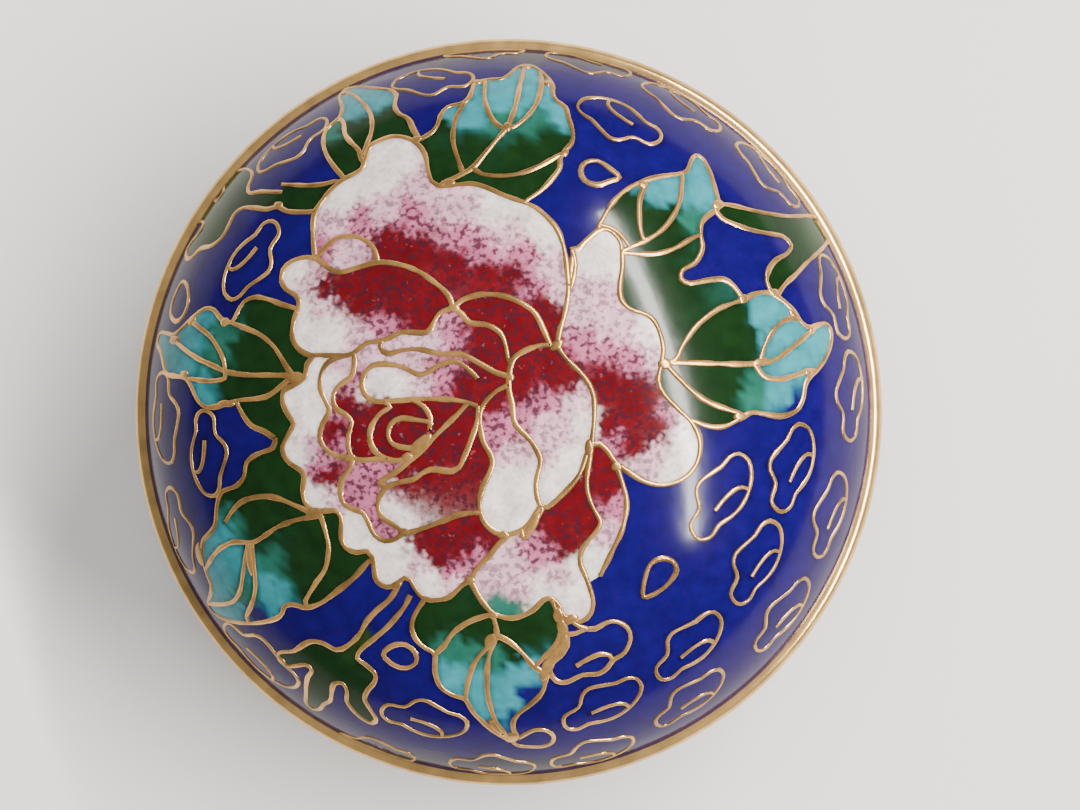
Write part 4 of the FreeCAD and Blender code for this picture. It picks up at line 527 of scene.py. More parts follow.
        ((-11.6, 17.6), GREEN), ((-12, 19.6), MID), ((-10.4, 19.6), GREEN), ((-9.7, 18), GREEN),
        ((-12, 22.8), TURQ),
        ((-11.2, 21.6), TURQ)]),
    "stem_right_enamel": ([(17, 13)], [((17, 13), GREEN), ((20, 12.6), GREEN), ((24, 13.6), OLIVE),
        ((18.6, 9.4), GREEN)]),
    "stem_left_enamel": ([(-14, 14.4), (-21, 14)], [((-14, 14.2), GREEN), ((-18, 15), GREEN),
        ((-22, 14), OLIVE)]),
    "maple_leaf_enamel": ([(-12, -17.5)], [((-12, -17.5), GREEN), ((-14.5, -21), GREEN),
        ((-8, -14), BLUE), ((-9, -15.2), OLIVE),
        ((-10, -21), GREEN)]),
    "lid_ground_enamel": ([], [((0, 0), BLUE)]),
}

SOLDER_SIDES = 20
SOLDER_RAGGED = 0.22       # how ragged the edge of a pool is
SOLDER_SECTION = ((1.0, -0.3), (1.0, 0.0), (0.8, 0.06), (0.45, 0.085))     # share of its size, height
# solder: place, half-length along, half-width across, turn in degrees
SOLDER = [
    (-5.0, -2.2, 0.9, 0.38, 40), (-5.9, -3.1, 0.4, 0.3, 0), (1.9, -7.3, 1.0, 0.3, 60),
    (-12.2, -6.75, 0.62, 0.34, 10), (-22, -10.3, 0.9, 0.5, 80), (-17.2, -10.2, 1.1, 0.26, 88),
    (-18.9, 5.9, 0.4, 0.3, 0), (-22.1, 6.3, 0.45, 0.3, 20), (-24, 5.1, 0.6, 0.35, 0),
    (-22.5, 2.5, 0.4, 0.28, 0), (-18.6, 0.35, 0.7, 0.26, 0), (-13.4, 1.95, 0.6, 0.36, 20),
    (-16, -17.9, 0.4, 0.3, -50), (0.5, -22.9, 0.6, 0.45, 60), (3.85, -14.2, 0.9, 0.34, 100),
    (3.3, -16.2, 0.9, 0.42, 60), (2.7, -17.5, 0.6, 0.36, 80), (-0.6, -13.3, 0.35, 0.26, 0),
    (-0.8, -15.1, 0.6, 0.4, 70), (-2, 23.2, 0.4, 0.26, 0), (3, 23.1, 0.35, 0.26, 90),
    (1.4, 25.1, 0.5, 0.28, 0), (4, 16.9, 0.35, 0.26, 60), (-3.5, 14.7, 0.4, 0.28, 0),
    (0.2, 18.9, 0.4, 0.3, 90), (9.2, 14.8, 0.4, 0.3, 0), (14.4, 13.8, 0.5, 0.34, 20),
    (15.8, 7.25, 0.45, 0.3, 30), (18.1, 7.85, 0.45, 0.26, 0), (19.6, 6.5, 0.4, 0.26, -30),
    (21.2, 5.5, 0.4, 0.26, 40), (16.8, 3.1, 0.6, 0.24, 20), (20.7, 2.5, 0.4, 0.24, 0),
    (15.4, -0.5, 0.5, 0.28, 0), (-5.8, 18.1, 0.35, 0.26, 0), (-12.5, 24.5, 0.5, 0.3, 0),
    (-15.5, 14, 0.4, 0.28, 0), (5.45, -2.6, 0.6, 0.32, 90), (7.2, -3.7, 0.4, 0.28, 0),
    (-9.7, -3.15, 0.4, 0.26, 0), (-6.2, -7.85, 0.4, 0.28, 0), (-6.85, -11.35, 0.4, 0.28, 30),
    (0.1, -8.0, 0.4, 0.28, 0), (4.35, 9, 0.9, 0.22, 85), (3.4, 3.9, 0.5, 0.3, 30),
    (-3.05, 6.25, 0.4, 0.3, 0), (0.5, 1.9, 0.3, 0.26, 0), (-2.1, -10.95, 0.4, 0.3, 0),
    (10.3, 2.8, 0.5, 0.34, 0), (4.3, -13.6, 0.6, 0.34, 20), (3.6, -13.3, 0.6, 0.34, 100),
    (3.95, -15.1, 0.8, 0.4, 95), (3.75, -15.7, 0.6, 0.4, 75), (2.9, -16.9, 0.6, 0.4, 55),
]

# the box in millimetres, the same as the CAD row
RIM_R = 25.0               # over the two brass rims
EDGE_R = 24.2              # where the enamel meets them
RIM_H = 1.6
LID_GAP = 0.05
BASE_Z = 14.2              # top of the base
LID_H = 14.0               # parting plane to the crown
ENAMEL = 0.8
COLLAR_R = 21.8
COLLAR_WALL = 0.6
COLLAR_RISE = 1.8
COLLAR_CLEAR = 0.1
WALL_STEPS = 40            # bands up the bowl's wall
BASE_ROWS = ((4.2, 11), (9.6, 15))     # bowl clouds: height up the wall, how many round
BASE_CLOUD = 5.8           # length of a bowl cloud
# outside of a rim: in from its widest, away from the parting plane
RIM_PROFILE = (
    (0.25, 0.0), (0.1, 0.12), (0.02, 0.4), (0.0, 0.75), (0.05, 1.1), (0.2, 1.4), (0.45, 1.56), (0.7, 1.6))
# rounding of the collar's top: in from its side, down from its top
COLLAR_LIP = ((0.0, 0.15), (0.08, 0.03), (0.2, 0.0))
DOME_H = LID_H - RIM_H - LID_GAP
CROWN = math.radians(29)
EDGE = math.radians(70)
A11, A12 = math.sin(CROWN), math.sin(EDGE) - math.sin(CROWN)
A21, A22 = 1 - math.cos(CROWN), math.cos(CROWN) - math.cos(EDGE)
DET = A11 * A22 - A12 * A21
R_CROWN = (EDGE_R * A22 - DOME_H * A12) / DET
R_SHOULDER = (DOME_H * A11 - EDGE_R * A21) / DET
LID_FOOT_Z = BASE_Z + LID_GAP
EDGE_Z = LID_FOOT_Z + RIM_H
TOP_Z = EDGE_Z + DOME_H
SHOULDER_R = (R_CROWN - R_SHOULDER) * math.sin(CROWN)
SHOULDER_Z = TOP_Z - R_CROWN + (R_CROWN - R_SHOULDER) * math.cos(CROWN)
S_CROWN = R_CROWN * CROWN
S_EDGE = S_CROWN + R_SHOULDER * (EDGE - CROWN)
REACH = 28.83              # crown to enamel edge along the surface, as drawn
SCALE = S_EDGE / REACH

FOOT_R = 13.4
FOOT_H = 1.0
FOOT_A = math.radians(21)
BASE_EDGE_Z = BASE_Z - RIM_H
HALF = math.atan2(BASE_EDGE_Z - FOOT_H, EDGE_R - FOOT_R) - FOOT_A
R_BOWL = math.hypot(BASE_EDGE_Z - FOOT_H, EDGE_R - FOOT_R) / (2 * math.sin(HALF))
BOWL_END = FOOT_A + 2 * HALF
BOWL_R = FOOT_R - R_BOWL * math.sin(FOOT_A)
BOWL_Z = FOOT_H + R_BOWL * math.cos(FOOT_A)
BOWL_MEAN = (EDGE_R + FOOT_R) / 2


def dome(u, v, lift=0.0):
    """Point on the lid for a drawn place, lifted off the enamel along its normal."""
    s = math.hypot(u, v) * SCALE
    turn = math.atan2(v, u)
    if s <= S_CROWN:
        a = s / R_CROWN
        r = (R_CROWN + lift) * math.sin(a)
        z = TOP_Z - R_CROWN + (R_CROWN + lift) * math.cos(a)
    else:
        a = min(CROWN + (s - S_CROWN) / R_SHOULDER, EDGE)
        r = SHOULDER_R + (R_SHOULDER + lift) * math.sin(a)
        z = SHOULDER_Z + (R_SHOULDER + lift) * math.cos(a)
    return Vector((r * math.cos(turn), r * math.sin(turn), z)) * MM


def bowl(along, up, lift=0.0):
    """Point on the bowl's wall: distance round at its middle, distance up from the foot."""
    a = min(FOOT_A + up / R_BOWL, BOWL_END)
    r = BOWL_R + (R_BOWL + lift) * math.sin(a)
    turn = along / BOWL_MEAN
    return Vector((r * math.cos(turn), r * math.sin(turn), BOWL_Z - (R_BOWL + lift) * math.cos(a))) * MM


def smooth(points, step):
    """A bent line through the points, in pieces about one step long."""
    closed = math.dist(points[0], points[-1]) < MEET
    line = []
    for i in range(len(points) - 1):
        b, c = points[i], points[i + 1]
        if i > 0:
            a = points[i - 1]
        else:
            a = points[-2] if closed else (2 * b[0] - c[0], 2 * b[1] - c[1])
        if i + 2 < len(points):
            d = points[i + 2]
        else:
            d = points[1] if closed else (2 * c[0] - b[0], 2 * c[1] - b[1])
        pieces = max(1, round(math.dist(b, c) / step))
        for k in range(pieces):
            t = k / pieces
            line.append(tuple(
                (2 * b[n] + (c[n] - a[n]) * t + (2 * a[n] - 5 * b[n] + 4 * c[n] - d[n]) * t ** 2
                 + (3 * b[n] - a[n] - 3 * c[n] + d[n]) * t ** 3) / 2 for n in (0, 1)))
    if not closed:
        line.append(points[-1])
    return line, closed


def placed(ends, points):
    """Cloud points between a small end and a big end, bulging to the outside."""
    (x0, y0), (x1, y1) = ends
    ax, ay = x1 - x0, y1 - y0
    bx, by = ay, -ax
    if bx * (x0 + x1) + by * (y0 + y1) < 0:
        bx, by = -bx, -by
    out = []
    for a, b in points:
        u, v = x0 + a * ax + b * bx, y0 + a * ay + b * by
        fit = min(1.0, (REACH - CLOUD_MARGIN) / math.hypot(u, v))
        out.append((u * fit, v * fit))
    return out


def cloud_strokes():
    """The lid's clouds, each an outline and a hook."""
    out = {}
    for n, ends in enumerate(CLOUDS):
        out["cloud_%d" % n] = placed(ends, CLOUD)
        out["hook_%d" % n] = placed(ends, CLOUD_HOOK)
    return out


def picture_strokes():
    """Every stroke of the lid by name, each loose end taken on to the wire beside it."""
    strokes = dict(cloud_strokes())
    for group in WIRE_SETS.values():
        strokes.update(group)
    bent = {key: smooth(raw, CUT_STEP) for key, raw in strokes.items()}
    tree = KDTree(sum(len(line) for line, _ in bent.values()))
    owners = []
    for key, (line, _) in bent.items():
        for u, v in line:
            tree.insert((u, v, 0), len(owners))
            owners.append(key)
    tree.balance()
    out = {}
    for key, raw in strokes.items():
        points = list(raw)
        if not bent[key][1] and not key.startswith("hook"):
            for end, place in ((points[0], 0), (points[-1], len(points) + 1)):
                for spot, n, gap in sorted(tree.find_range((*end, 0), JOIN_REACH), key=lambda hit: hit[2]):
                    if owners[n] != key:
                        if gap > 1e-5:
                            points.insert(place, (spot.x, spot.y))
                        break
        out[key] = points
    return out


def make(name, verts, faces, material):
    """A smooth-shaded object from points and faces."""
    mesh = bpy.data.meshes.new(name)
    mesh.from_pydata([tuple(p) for p in verts], [], faces)
    mesh.validate()
    mesh.polygons.foreach_set("use_smooth", [True] * len(mesh.polygons))
    obj = bpy.data.objects.new(name, mesh)
    bpy.context.scene.collection.objects.link(obj)
    obj.data.materials.append(material)
    return obj


def outward(obj):
    """Turns every face of a closed mesh to point outward."""
    bpy.ops.object.select_all(action="DESELECT")
    obj.select_set(True)
    bpy.context.view_layer.objects.active = obj
    bpy.ops.object.mode_set(mode="EDIT")
    bpy.ops.mesh.select_all(action="SELECT")
    bpy.ops.mesh.normals_make_consistent(inside=False)
    bpy.ops.object.mode_set(mode="OBJECT")


def belongs(obj, body, slot, *nodes):
    """Seats a piece on its body, in place of its CAD nodes."""
    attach(obj, body)
    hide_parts(*nodes)
    return obj


def lathe(name, section, material, sharp=40, steps=256):
    """A ring turned from a closed section of (radius, height) points, spun in edit mode."""
    profile = [Vector((r, 0, z)) * MM for r, z in section]
    mesh = bpy.data.meshes.new(name)
    mesh.from_pydata(profile, [(k, (k + 1) % len(profile)) for k in range(len(profile))], [])
    obj = bpy.data.objects.new(name, mesh)
    bpy.context.scene.collection.objects.link(obj)
    bpy.ops.object.select_all(action="DESELECT")
    obj.select_set(True)
    bpy.context.view_layer.objects.active = obj
    bpy.ops.object.mode_set(mode="EDIT")
    bpy.ops.mesh.select_all(action="SELECT")
    bpy.ops.mesh.spin(steps=steps, angle=2 * math.pi, center=(0, 0, 0), axis=(0, 0, 1))
    bpy.ops.mesh.select_all(action="SELECT")
    bpy.ops.mesh.remove_doubles(threshold=1e-7)
    bpy.ops.mesh.normals_make_consistent(inside=False)
    bpy.ops.mesh.faces_shade_smooth()
    bpy.ops.object.mode_set(mode="OBJECT")
    obj.data.set_sharp_from_angle(angle=math.radians(sharp))
    obj.data.materials.append(material)
    return obj


# ---------------------------------------------------------------- materials
def nodes_of(name):
    material = bpy.data.materials.new(name)
    material.use_nodes = True
    tree = material.node_tree
    return material, tree, tree.nodes["Principled BSDF"]


def link(tree, a, b):
    tree.links.new(a, b)


def noise_of(tree, scale, detail=3.0):
    place = tree.nodes.new("ShaderNodeTexCoord")
    texture = tree.nodes.new("ShaderNodeTexNoise")
    texture.inputs["Scale"].default_value = scale
    texture.inputs["Detail"].default_value = detail
    link(tree, place.outputs["Object"], texture.inputs["Vector"])
    return texture.outputs["Fac"]


def ramp_of(tree, value, stops):
    ramp = tree.nodes.new("ShaderNodeValToRGB")
    while len(ramp.color_ramp.elements) < len(stops):
        ramp.color_ramp.elements.new(0.5)
    for element, (place, level) in zip(ramp.color_ramp.elements, stops):
        element.position = place
        element.color = (level, level, level, 1) if not isinstance(level, tuple) else level + (1,)
    link(tree, value, ramp.inputs["Fac"])
    return ramp.outputs["Color"]


def mixed(tree, kind, factor, a, b):
    mix = tree.nodes.new("ShaderNodeMix")
    mix.data_type = "RGBA"
    mix.blend_type = kind
    for socket, value in ((mix.inputs["Factor"], factor), (mix.inputs[6], a), (mix.inputs[7], b)):
        if isinstance(value, (float, tuple)):
            socket.default_value = value
        else:
            link(tree, value, socket)
    return mix.outputs[2]


def bumped(tree, shader, height, strength, distance):
    bump = tree.nodes.new("ShaderNodeBump")
    bump.inputs["Strength"].default_value = strength
    bump.inputs["Distance"].default_value = distance
    link(tree, height, bump.inputs["Height"])
    link(tree, bump.outputs["Normal"], shader.inputs["Normal"])


# grains of powder in the glass: how fine, where they begin and are solid, their colour
GRAINS = (
    (2900, 0.47, 0.62, (0.030, 0.006, 0.012, 1.0)),
    (2300, 0.67, 0.84, (0.20, 0.07, 0.09, 1.0)),
)
GLASS = {"Roughness": 0.13, "Specular IOR Level": 0.09, "Coat Weight": 0.05, "Coat Roughness": 0.05}


def enamel_material(name, grain):
    """Glossy glass coloured by the mesh, with the grains of unmixed glass powder in it."""
    material, tree, shader = nodes_of(name)
    paint = tree.nodes.new("ShaderNodeAttribute")
    paint.attribute_name = "glass"
    colour = paint.outputs["Color"]
    soft = ramp_of(tree, noise_of(tree, 900, 4), [(0.3, 0.72), (0.7, 1.1)])
    colour = mixed(tree, "MULTIPLY", 1.0, colour, soft)
    for scale, low, high, tint in GRAINS:
        share = tree.nodes.new("ShaderNodeMath")
        share.operation = "MULTIPLY"
        link(tree, ramp_of(tree, noise_of(tree, scale, 2), [(low, 0.0), (high, grain)]), share.inputs[0])
        link(tree, paint.outputs["Alpha"], share.inputs[1])
        colour = mixed(tree, "MIX", share.outputs[0], colour, tint)
    link(tree, colour, shader.inputs["Base Color"])
    for socket, value in GLASS.items():
        shader.inputs[socket].default_value = value
    bumped(tree, shader, noise_of(tree, 260, 3), 0.12, 0.0002)
    return material


def metal_material(name, colour, rough, wear):
    """Brass or copper, tarnished in patches and worn bright between them."""
    material, tree, shader = nodes_of(name)
    tone = ramp_of(tree, noise_of(tree, 700, 5), [(0.36, 1 - wear), (0.62, 1.0)])
    patch = ramp_of(tree, noise_of(tree, 160, 3), [(0.38, 1 - wear), (0.6, 1.0)])
    worn = mixed(tree, "MULTIPLY", 1.0, colour + (1.0,), tone)
    link(tree, mixed(tree, "MULTIPLY", 1.0, worn, patch), shader.inputs["Base Color"])
    shader.inputs["Metallic"].default_value = METAL
    shader.inputs["Roughness"].default_value = rough
    bumped(tree, shader, noise_of(tree, 2200, 3), 0.15, 0.00005)
    return material


def plain_enamel(name, colour):
    """Glossy enamel of one colour, cloudy as fired glass is."""
    material, tree, shader = nodes_of(name)
    tone = ramp_of(tree, noise_of(tree, 500, 4), [(0.3, 0.6), (0.7, 1.15)])
    link(tree, mixed(tree, "MULTIPLY", 1.0, colour + (1.0,), tone), shader.inputs["Base Color"])
    shader.inputs["Roughness"].default_value = 0.14
    bumped(tree, shader, noise_of(tree, 300, 3), 0.15, 0.0002)
    return material


def once(name, maker, *args):
    """The material of that name, made the first time it is asked for."""
    return bpy.data.materials.get(name) or maker(name, *args)


# ---------------------------------------------------------------- wires
def ribbon(line, closed, surface, width, high, verts, faces):
    """Adds one closed wire, standing in the enamel with a rounded top, to a list of faces."""
    count = len(line)
    start = len(verts)
    for i, (u, v) in enumerate(line):
        before = line[i - 1] if (i > 0 or closed) else line[0]
        after = line[(i + 1) % count] if (i < count - 1 or closed) else line[-1]
        run = math.dist(before, after) or 1.0
        nx, ny = -(after[1] - before[1]) / run, (after[0] - before[0]) / run
        half = width / 2 * (1 + WANDER * noise.noise((u * 0.9, v * 0.9, 3.1)))
        for across, lift in (
                (-1, -SINK), (-1, 0.0), (-WIRE_TOP, high), (WIRE_TOP, high), (1, 0.0), (1, -SINK)):
            verts.append(surface(u + nx * half * across, v + ny * half * across, lift))
    for i in range(count if closed else count - 1):
        a, b = start + 6 * i, start + 6 * ((i + 1) % count)
        for k in range(6):
            m = (k + 1) % 6
            faces.append([a + k, b + k, b + m, a + m])
    if not closed:
        faces.append([start + k for k in range(6)])
        end = start + 6 * (count - 1)
        faces.append([end + k for k in reversed(range(6))])


def wire_piece(name, strokes, surface, material, width, high):
    """All the wires of one group as one piece."""
    verts, faces = [], []
    for key, points in strokes.items():
        if key in UNSEEN:
            continue
        line, closed = smooth(points, WIRE_STEP)
        ribbon(line, closed, surface, width, high, verts, faces)
    obj = make(name, verts, faces, material)
    outward(obj)
    obj.data.set_sharp_from_angle(angle=math.radians(50))
    return obj


def solder_piece(name, material):
    """Pools of solder where wires meet, flat-topped with a rounded edge."""
    verts, faces = [], []
    for u, v, long, wide, turn in SOLDER:
        c, s = math.cos(math.radians(turn)), math.sin(math.radians(turn))
        start = len(verts)
        for share, lift in SOLDER_SECTION:
            for k in range(SOLDER_SIDES):
                a = 2 * math.pi * k / SOLDER_SIDES
                ragged = 1 + SOLDER_RAGGED * noise.noise((u + 1.3 * math.cos(a), v + 1.3 * math.sin(a), 1.7))
                x, y = long * share * ragged * math.cos(a), wide * share * ragged * math.sin(a)
                verts.append(dome(u + x * c - y * s, v + x * s + y * c, lift))
        for ring in range(len(SOLDER_SECTION) - 1):
            a = start + SOLDER_SIDES * ring
            b = a + SOLDER_SIDES
            for k in range(SOLDER_SIDES):
                m = (k + 1) % SOLDER_SIDES
                faces.append([a + k, a + m, b + m, b + k])
        faces.append([start + k for k in reversed(range(SOLDER_SIDES))])
        faces.append([b + k for k in range(SOLDER_SIDES)])
    obj = make(name, verts, faces, material)
    outward(obj)
    return obj


# ---------------------------------------------------------------- enamel
def colour_at(u, v, spots):
    """Colour between the listed spots, with a ragged border from the powder's grains."""
    uu = u + 0.5 * noise.noise((u * 1.3, v * 1.3, 0.3)) + 0.7 * noise.noise((u * 4.3, v * 4.3, 2.3))
    vv = v + 0.5 * noise.noise((u * 1.3, v * 1.3, 7.3)) + 0.7 * noise.noise((u * 4.3, v * 4.3, 9.1))
    total, mix = 0.0, Vector((0, 0, 0))
    for (a, b), colour in spots:
        weight = 1 / ((uu - a) ** 2 + (vv - b) ** 2 + 0.05) ** 3
        total += weight
        mix += Vector(colour) * weight
    return mix / total


def lid_pieces(spacing):
    """Fills every cell between the wires: (piece name, points, triangles) in the flat drawing."""
    points, edges = [], []
    wires = []

    def add(line, closed):
        first = len(points)
        points.extend(line)
        for k in range(len(line) - 1):
            edges.append((first + k, first + k + 1))
        if closed:
            edges.append((len(points) - 1, first))

    ends = []
    for key, raw in picture_strokes().items():
        line, closed = smooth(raw, CUT_STEP)
        if key not in UNSEEN:
            wires.extend(line)
        first = len(points)
        add(line, closed)
        if not closed:
            ends += [(first, first, len(points)), (len(points) - 1, first, len(points))]
    # what is left between an end and the next wire is shut off too
    for end, low, high in ends:
        here = points[end]
        gap, other = min((math.dist(here, p), n) for n, p in enumerate(points) if not low <= n < high)
        if gap < JOIN_REACH:
            edges.append((end, other))
    turns = [2 * math.pi * k / RIM_POINTS for k in range(RIM_POINTS)]
    add([(REACH * math.cos(turn), REACH * math.sin(turn)) for turn in turns], True)
    near = KDTree(len(wires))
    for k, (u, v) in enumerate(wires):
        near.insert((u, v, 0), k)
    near.balance()
    rows = int(2 * REACH / spacing) + 1
    for i in range(-rows, rows + 1):
        for j in range(-rows, rows + 1):
            u = (i + 0.5 * (j % 2)) * spacing / 2
            v = j * spacing * 0.433
            # every second point is enough away from the flower
            flower = math.hypot(u + 1, v - 1.5) < FLOWER_REACH
            if (flower or (i % 2 == 0 and j % 2 == 0)) and math.hypot(u, v) < REACH - spacing * 0.5:
                if near.find((u, v, 0))[2] > spacing * 0.3:
                    points.append((u, v))
    flat, sides, tris, _, origins, _ = delaunay_2d_cdt([Vector(p) for p in points], edges, [], 1, 1e-4)
    # edges that lie on a wire or the rim stop the flood
    walls = set()
    for edge, origin in zip(sides, origins):
        if origin:
            walls.add(tuple(sorted(edge)))
    beside = {}
    for t, tri in enumerate(tris):
        for k in range(3):
            beside.setdefault(tuple(sorted((tri[k], tri[(k + 1) % 3]))), []).append(t)
    cell = [-1] * len(tris)
    cells = 0
    for seed in range(len(tris)):
        if cell[seed] >= 0:
            continue
        stack = [seed]
        cell[seed] = cells
        while stack:
            tri = tris[stack.pop()]
            for k in range(3):
                edge = tuple(sorted((tri[k], tri[(k + 1) % 3])))
                if edge in walls:
                    continue
                for other in beside[edge]:
                    if cell[other] < 0:
                        cell[other] = cells
                        stack.append(other)
        cells += 1
    size = {}
    for t, tri in enumerate(tris):
        a, b, c = (flat[n] for n in tri)
        size[cell[t]] = size.get(cell[t], 0) + abs((b - a).cross(c - a)) / 2
    owner = {}
    for piece, (seeds, _) in CELLS.items():
        for seed in seeds:
            best = None
            for t, tri in enumerate(tris):
                a, b, c = (flat[n] for n in tri)
                p = Vector(seed)
                s1, s2, s3 = (b - a).cross(p - a), (c - b).cross(p - b), (a - c).cross(p - c)
                if (s1 >= 0 and s2 >= 0 and s3 >= 0) or (s1 <= 0 and s2 <= 0 and s3 <= 0):
                    best = cell[t]
                    break
            if best is not None and size[best] <= LARGEST_CELL:
                owner[best] = piece
    groups = {}
    for t, tri in enumerate(tris):
        groups.setdefault(owner.get(cell[t], "lid_ground_enamel"), []).append(tri)
    return flat, groups, near


def enamel_piece(name, flat, tris, near, material, depth):
    used = sorted({n for tri in tris for n in tri})
    index = {n: k for k, n in enumerate(used)}
    count = len(used)
    verts = [dome(*flat[n]) for n in used] + [dome(*flat[n], -depth) for n in used]
    faces = []
    rim = {}
    for tri in tris:
        a, b, c = (index[n] for n in tri)
        faces.append([a, b, c])
        faces.append([c + count, b + count, a + count])
        for edge in ((a, b), (b, c), (c, a)):
            if edge[::-1] in rim:
                del rim[edge[::-1]]
            else:
                rim[edge] = True
    for a, b in rim:
        faces.append([b, a, a + count, b + count])
    obj = make(name + "_look", verts, faces, material)
    attribute = obj.data.color_attributes.new("glass", "FLOAT_COLOR", "POINT")
    spots = CELLS[name][1]
    ground = name == "lid_ground_enamel"
    values = []
    for n in used:
        u, v = flat[n]
        if ground:
            # painted reflection: the ground turns violet towards the rim
            out = max(0.0, (math.hypot(u, v) - 21) / 8) ** 1.5
            colour = Vector(BLUE).lerp(Vector(RIM_REFLECTION_VIOLET), min(0.85, out))
        else:
            colour = colour_at(u, v, spots)
        # painted shade: the glass is darkened within 0.3 mm of a wire, the shade of the small gaps and pits
        # along it
        gap = near.find((u, v, 0))[2]
        colour = colour * (0.35 + 0.65 * min(1.0, gap / 0.3))
        grains = 0.04
        if name.startswith("petal"):
            grains = max(0.0, min(1.0, 1.6 * (1 - colour.y / max(colour.x, 1e-6))))
        values.extend((*colour, grains))
    attribute.data.foreach_set("color", values * 2)
    outward(obj)
    obj.data.set_sharp_from_angle(angle=math.radians(50))
    return obj


# ---------------------------------------------------------------- settings and operators
class PillBoxSettings(bpy.types.PropertyGroup):
    """Sizes and colours that a user would change"""
    wire_width: bpy.props.FloatProperty(name="Wire width, mm", default=0.34, min=0.15, max=0.8)
    wire_proud: bpy.props.FloatProperty(name="Wire stands out, mm", default=0.06, min=0.0, max=0.3)
    enamel_depth: bpy.props.FloatProperty(name="Enamel depth, mm", default=0.8, min=0.3, max=1.5)
    mesh_spacing: bpy.props.FloatProperty(name="Mesh spacing, mm", default=0.5, min=0.3, max=2.0)
    grain: bpy.props.FloatProperty(name="Grain in the glass", default=0.85, min=0.0, max=1.0)
    brass: bpy.props.FloatVectorProperty(
        name="Brass", subtype="COLOR", default=(0.66, 0.36, 0.11), max=1.0)
    rim_brass: bpy.props.FloatVectorProperty(
        name="Rim brass", subtype="COLOR", default=(0.70, 0.43, 0.15), max=1.0)
    base_blue: bpy.props.FloatVectorProperty(
        name="Base blue", subtype="COLOR", default=(0.012, 0.002, 0.11), max=1.0)
    lining: bpy.props.FloatVectorProperty(
        name="Lining blue", subtype="COLOR", default=(0.01, 0.03, 0.24), max=1.0)


def settings():
    return bpy.context.scene.pill_box


def brass():
    return once("wire brass", metal_material, tuple(settings().brass), 0.26, 0.45)


def rim_brass():
    return once("rim brass", metal_material, tuple(settings().rim_brass), 0.2, 0.25)


class PILLBOX_OT_lid_picture(bpy.types.Operator):
    """Build the lid's enamel cells, wires and solder"""
    bl_idname = "pillbox.lid_picture"
    bl_label = "Lid picture"

    def execute(self, context):
        s = settings()
        flat, groups, near = lid_pieces(s.mesh_spacing)
        slots = {n["node"]: n["material_slot"] for n in frame["record"]["subparts"]}
        glass = once("enamel", enamel_material, s.grain)
        for name, tris in groups.items():
            obj = enamel_piece(name, flat, tris, near, glass, s.enamel_depth)
            belongs(obj, "lid", slots[name], name)
        drawn = picture_strokes()
        for name, group in WIRE_SETS.items():
            strokes = {key: drawn[key] for key in group}
            obj = wire_piece(name + "_look", strokes, dome, brass(), s.wire_width, s.wire_proud)
            belongs(obj, "lid", "wire_brass", name)
        obj = wire_piece(
            "cloud_wires_look", cloud_strokes(), dome, brass(), s.wire_width * 0.85, s.wire_proud)
        belongs(obj, "lid", "wire_brass", "cloud_wires")
        belongs(solder_piece("solder_look", brass()), "lid", "wire_brass", "solder_fill")
        return {"FINISHED"}


class PILLBOX_OT_lid_metal(bpy.types.Operator):
    """Build the lid's rim and lining"""
    bl_idname = "pillbox.lid_metal"
    bl_label = "Lid metal"

    def execute(self, context):
        inner = COLLAR_R + COLLAR_CLEAR
        outside = [(RIM_R - a, LID_FOOT_Z + b) for a, b in RIM_PROFILE]
        section = [(inner, LID_FOOT_Z), *outside, (inner, EDGE_Z)]
        belongs(lathe("lid_rim_look", section, rim_brass()), "lid", "gilt_brass", "lid_rim")
        lining = once("lining", plain_enamel, tuple(settings().lining))
        paint("lid_lining", lining)
        paint("lid_shell", once("copper", metal_material, (0.5, 0.2, 0.1), 0.4, 0.4))
        return {"FINISHED"}


def paint(node, material):
    """Gives a CAD node that stays its finish."""
    obj = frame["nodes"][node]
    obj.data.materials.clear()
    obj.data.materials.append(material)


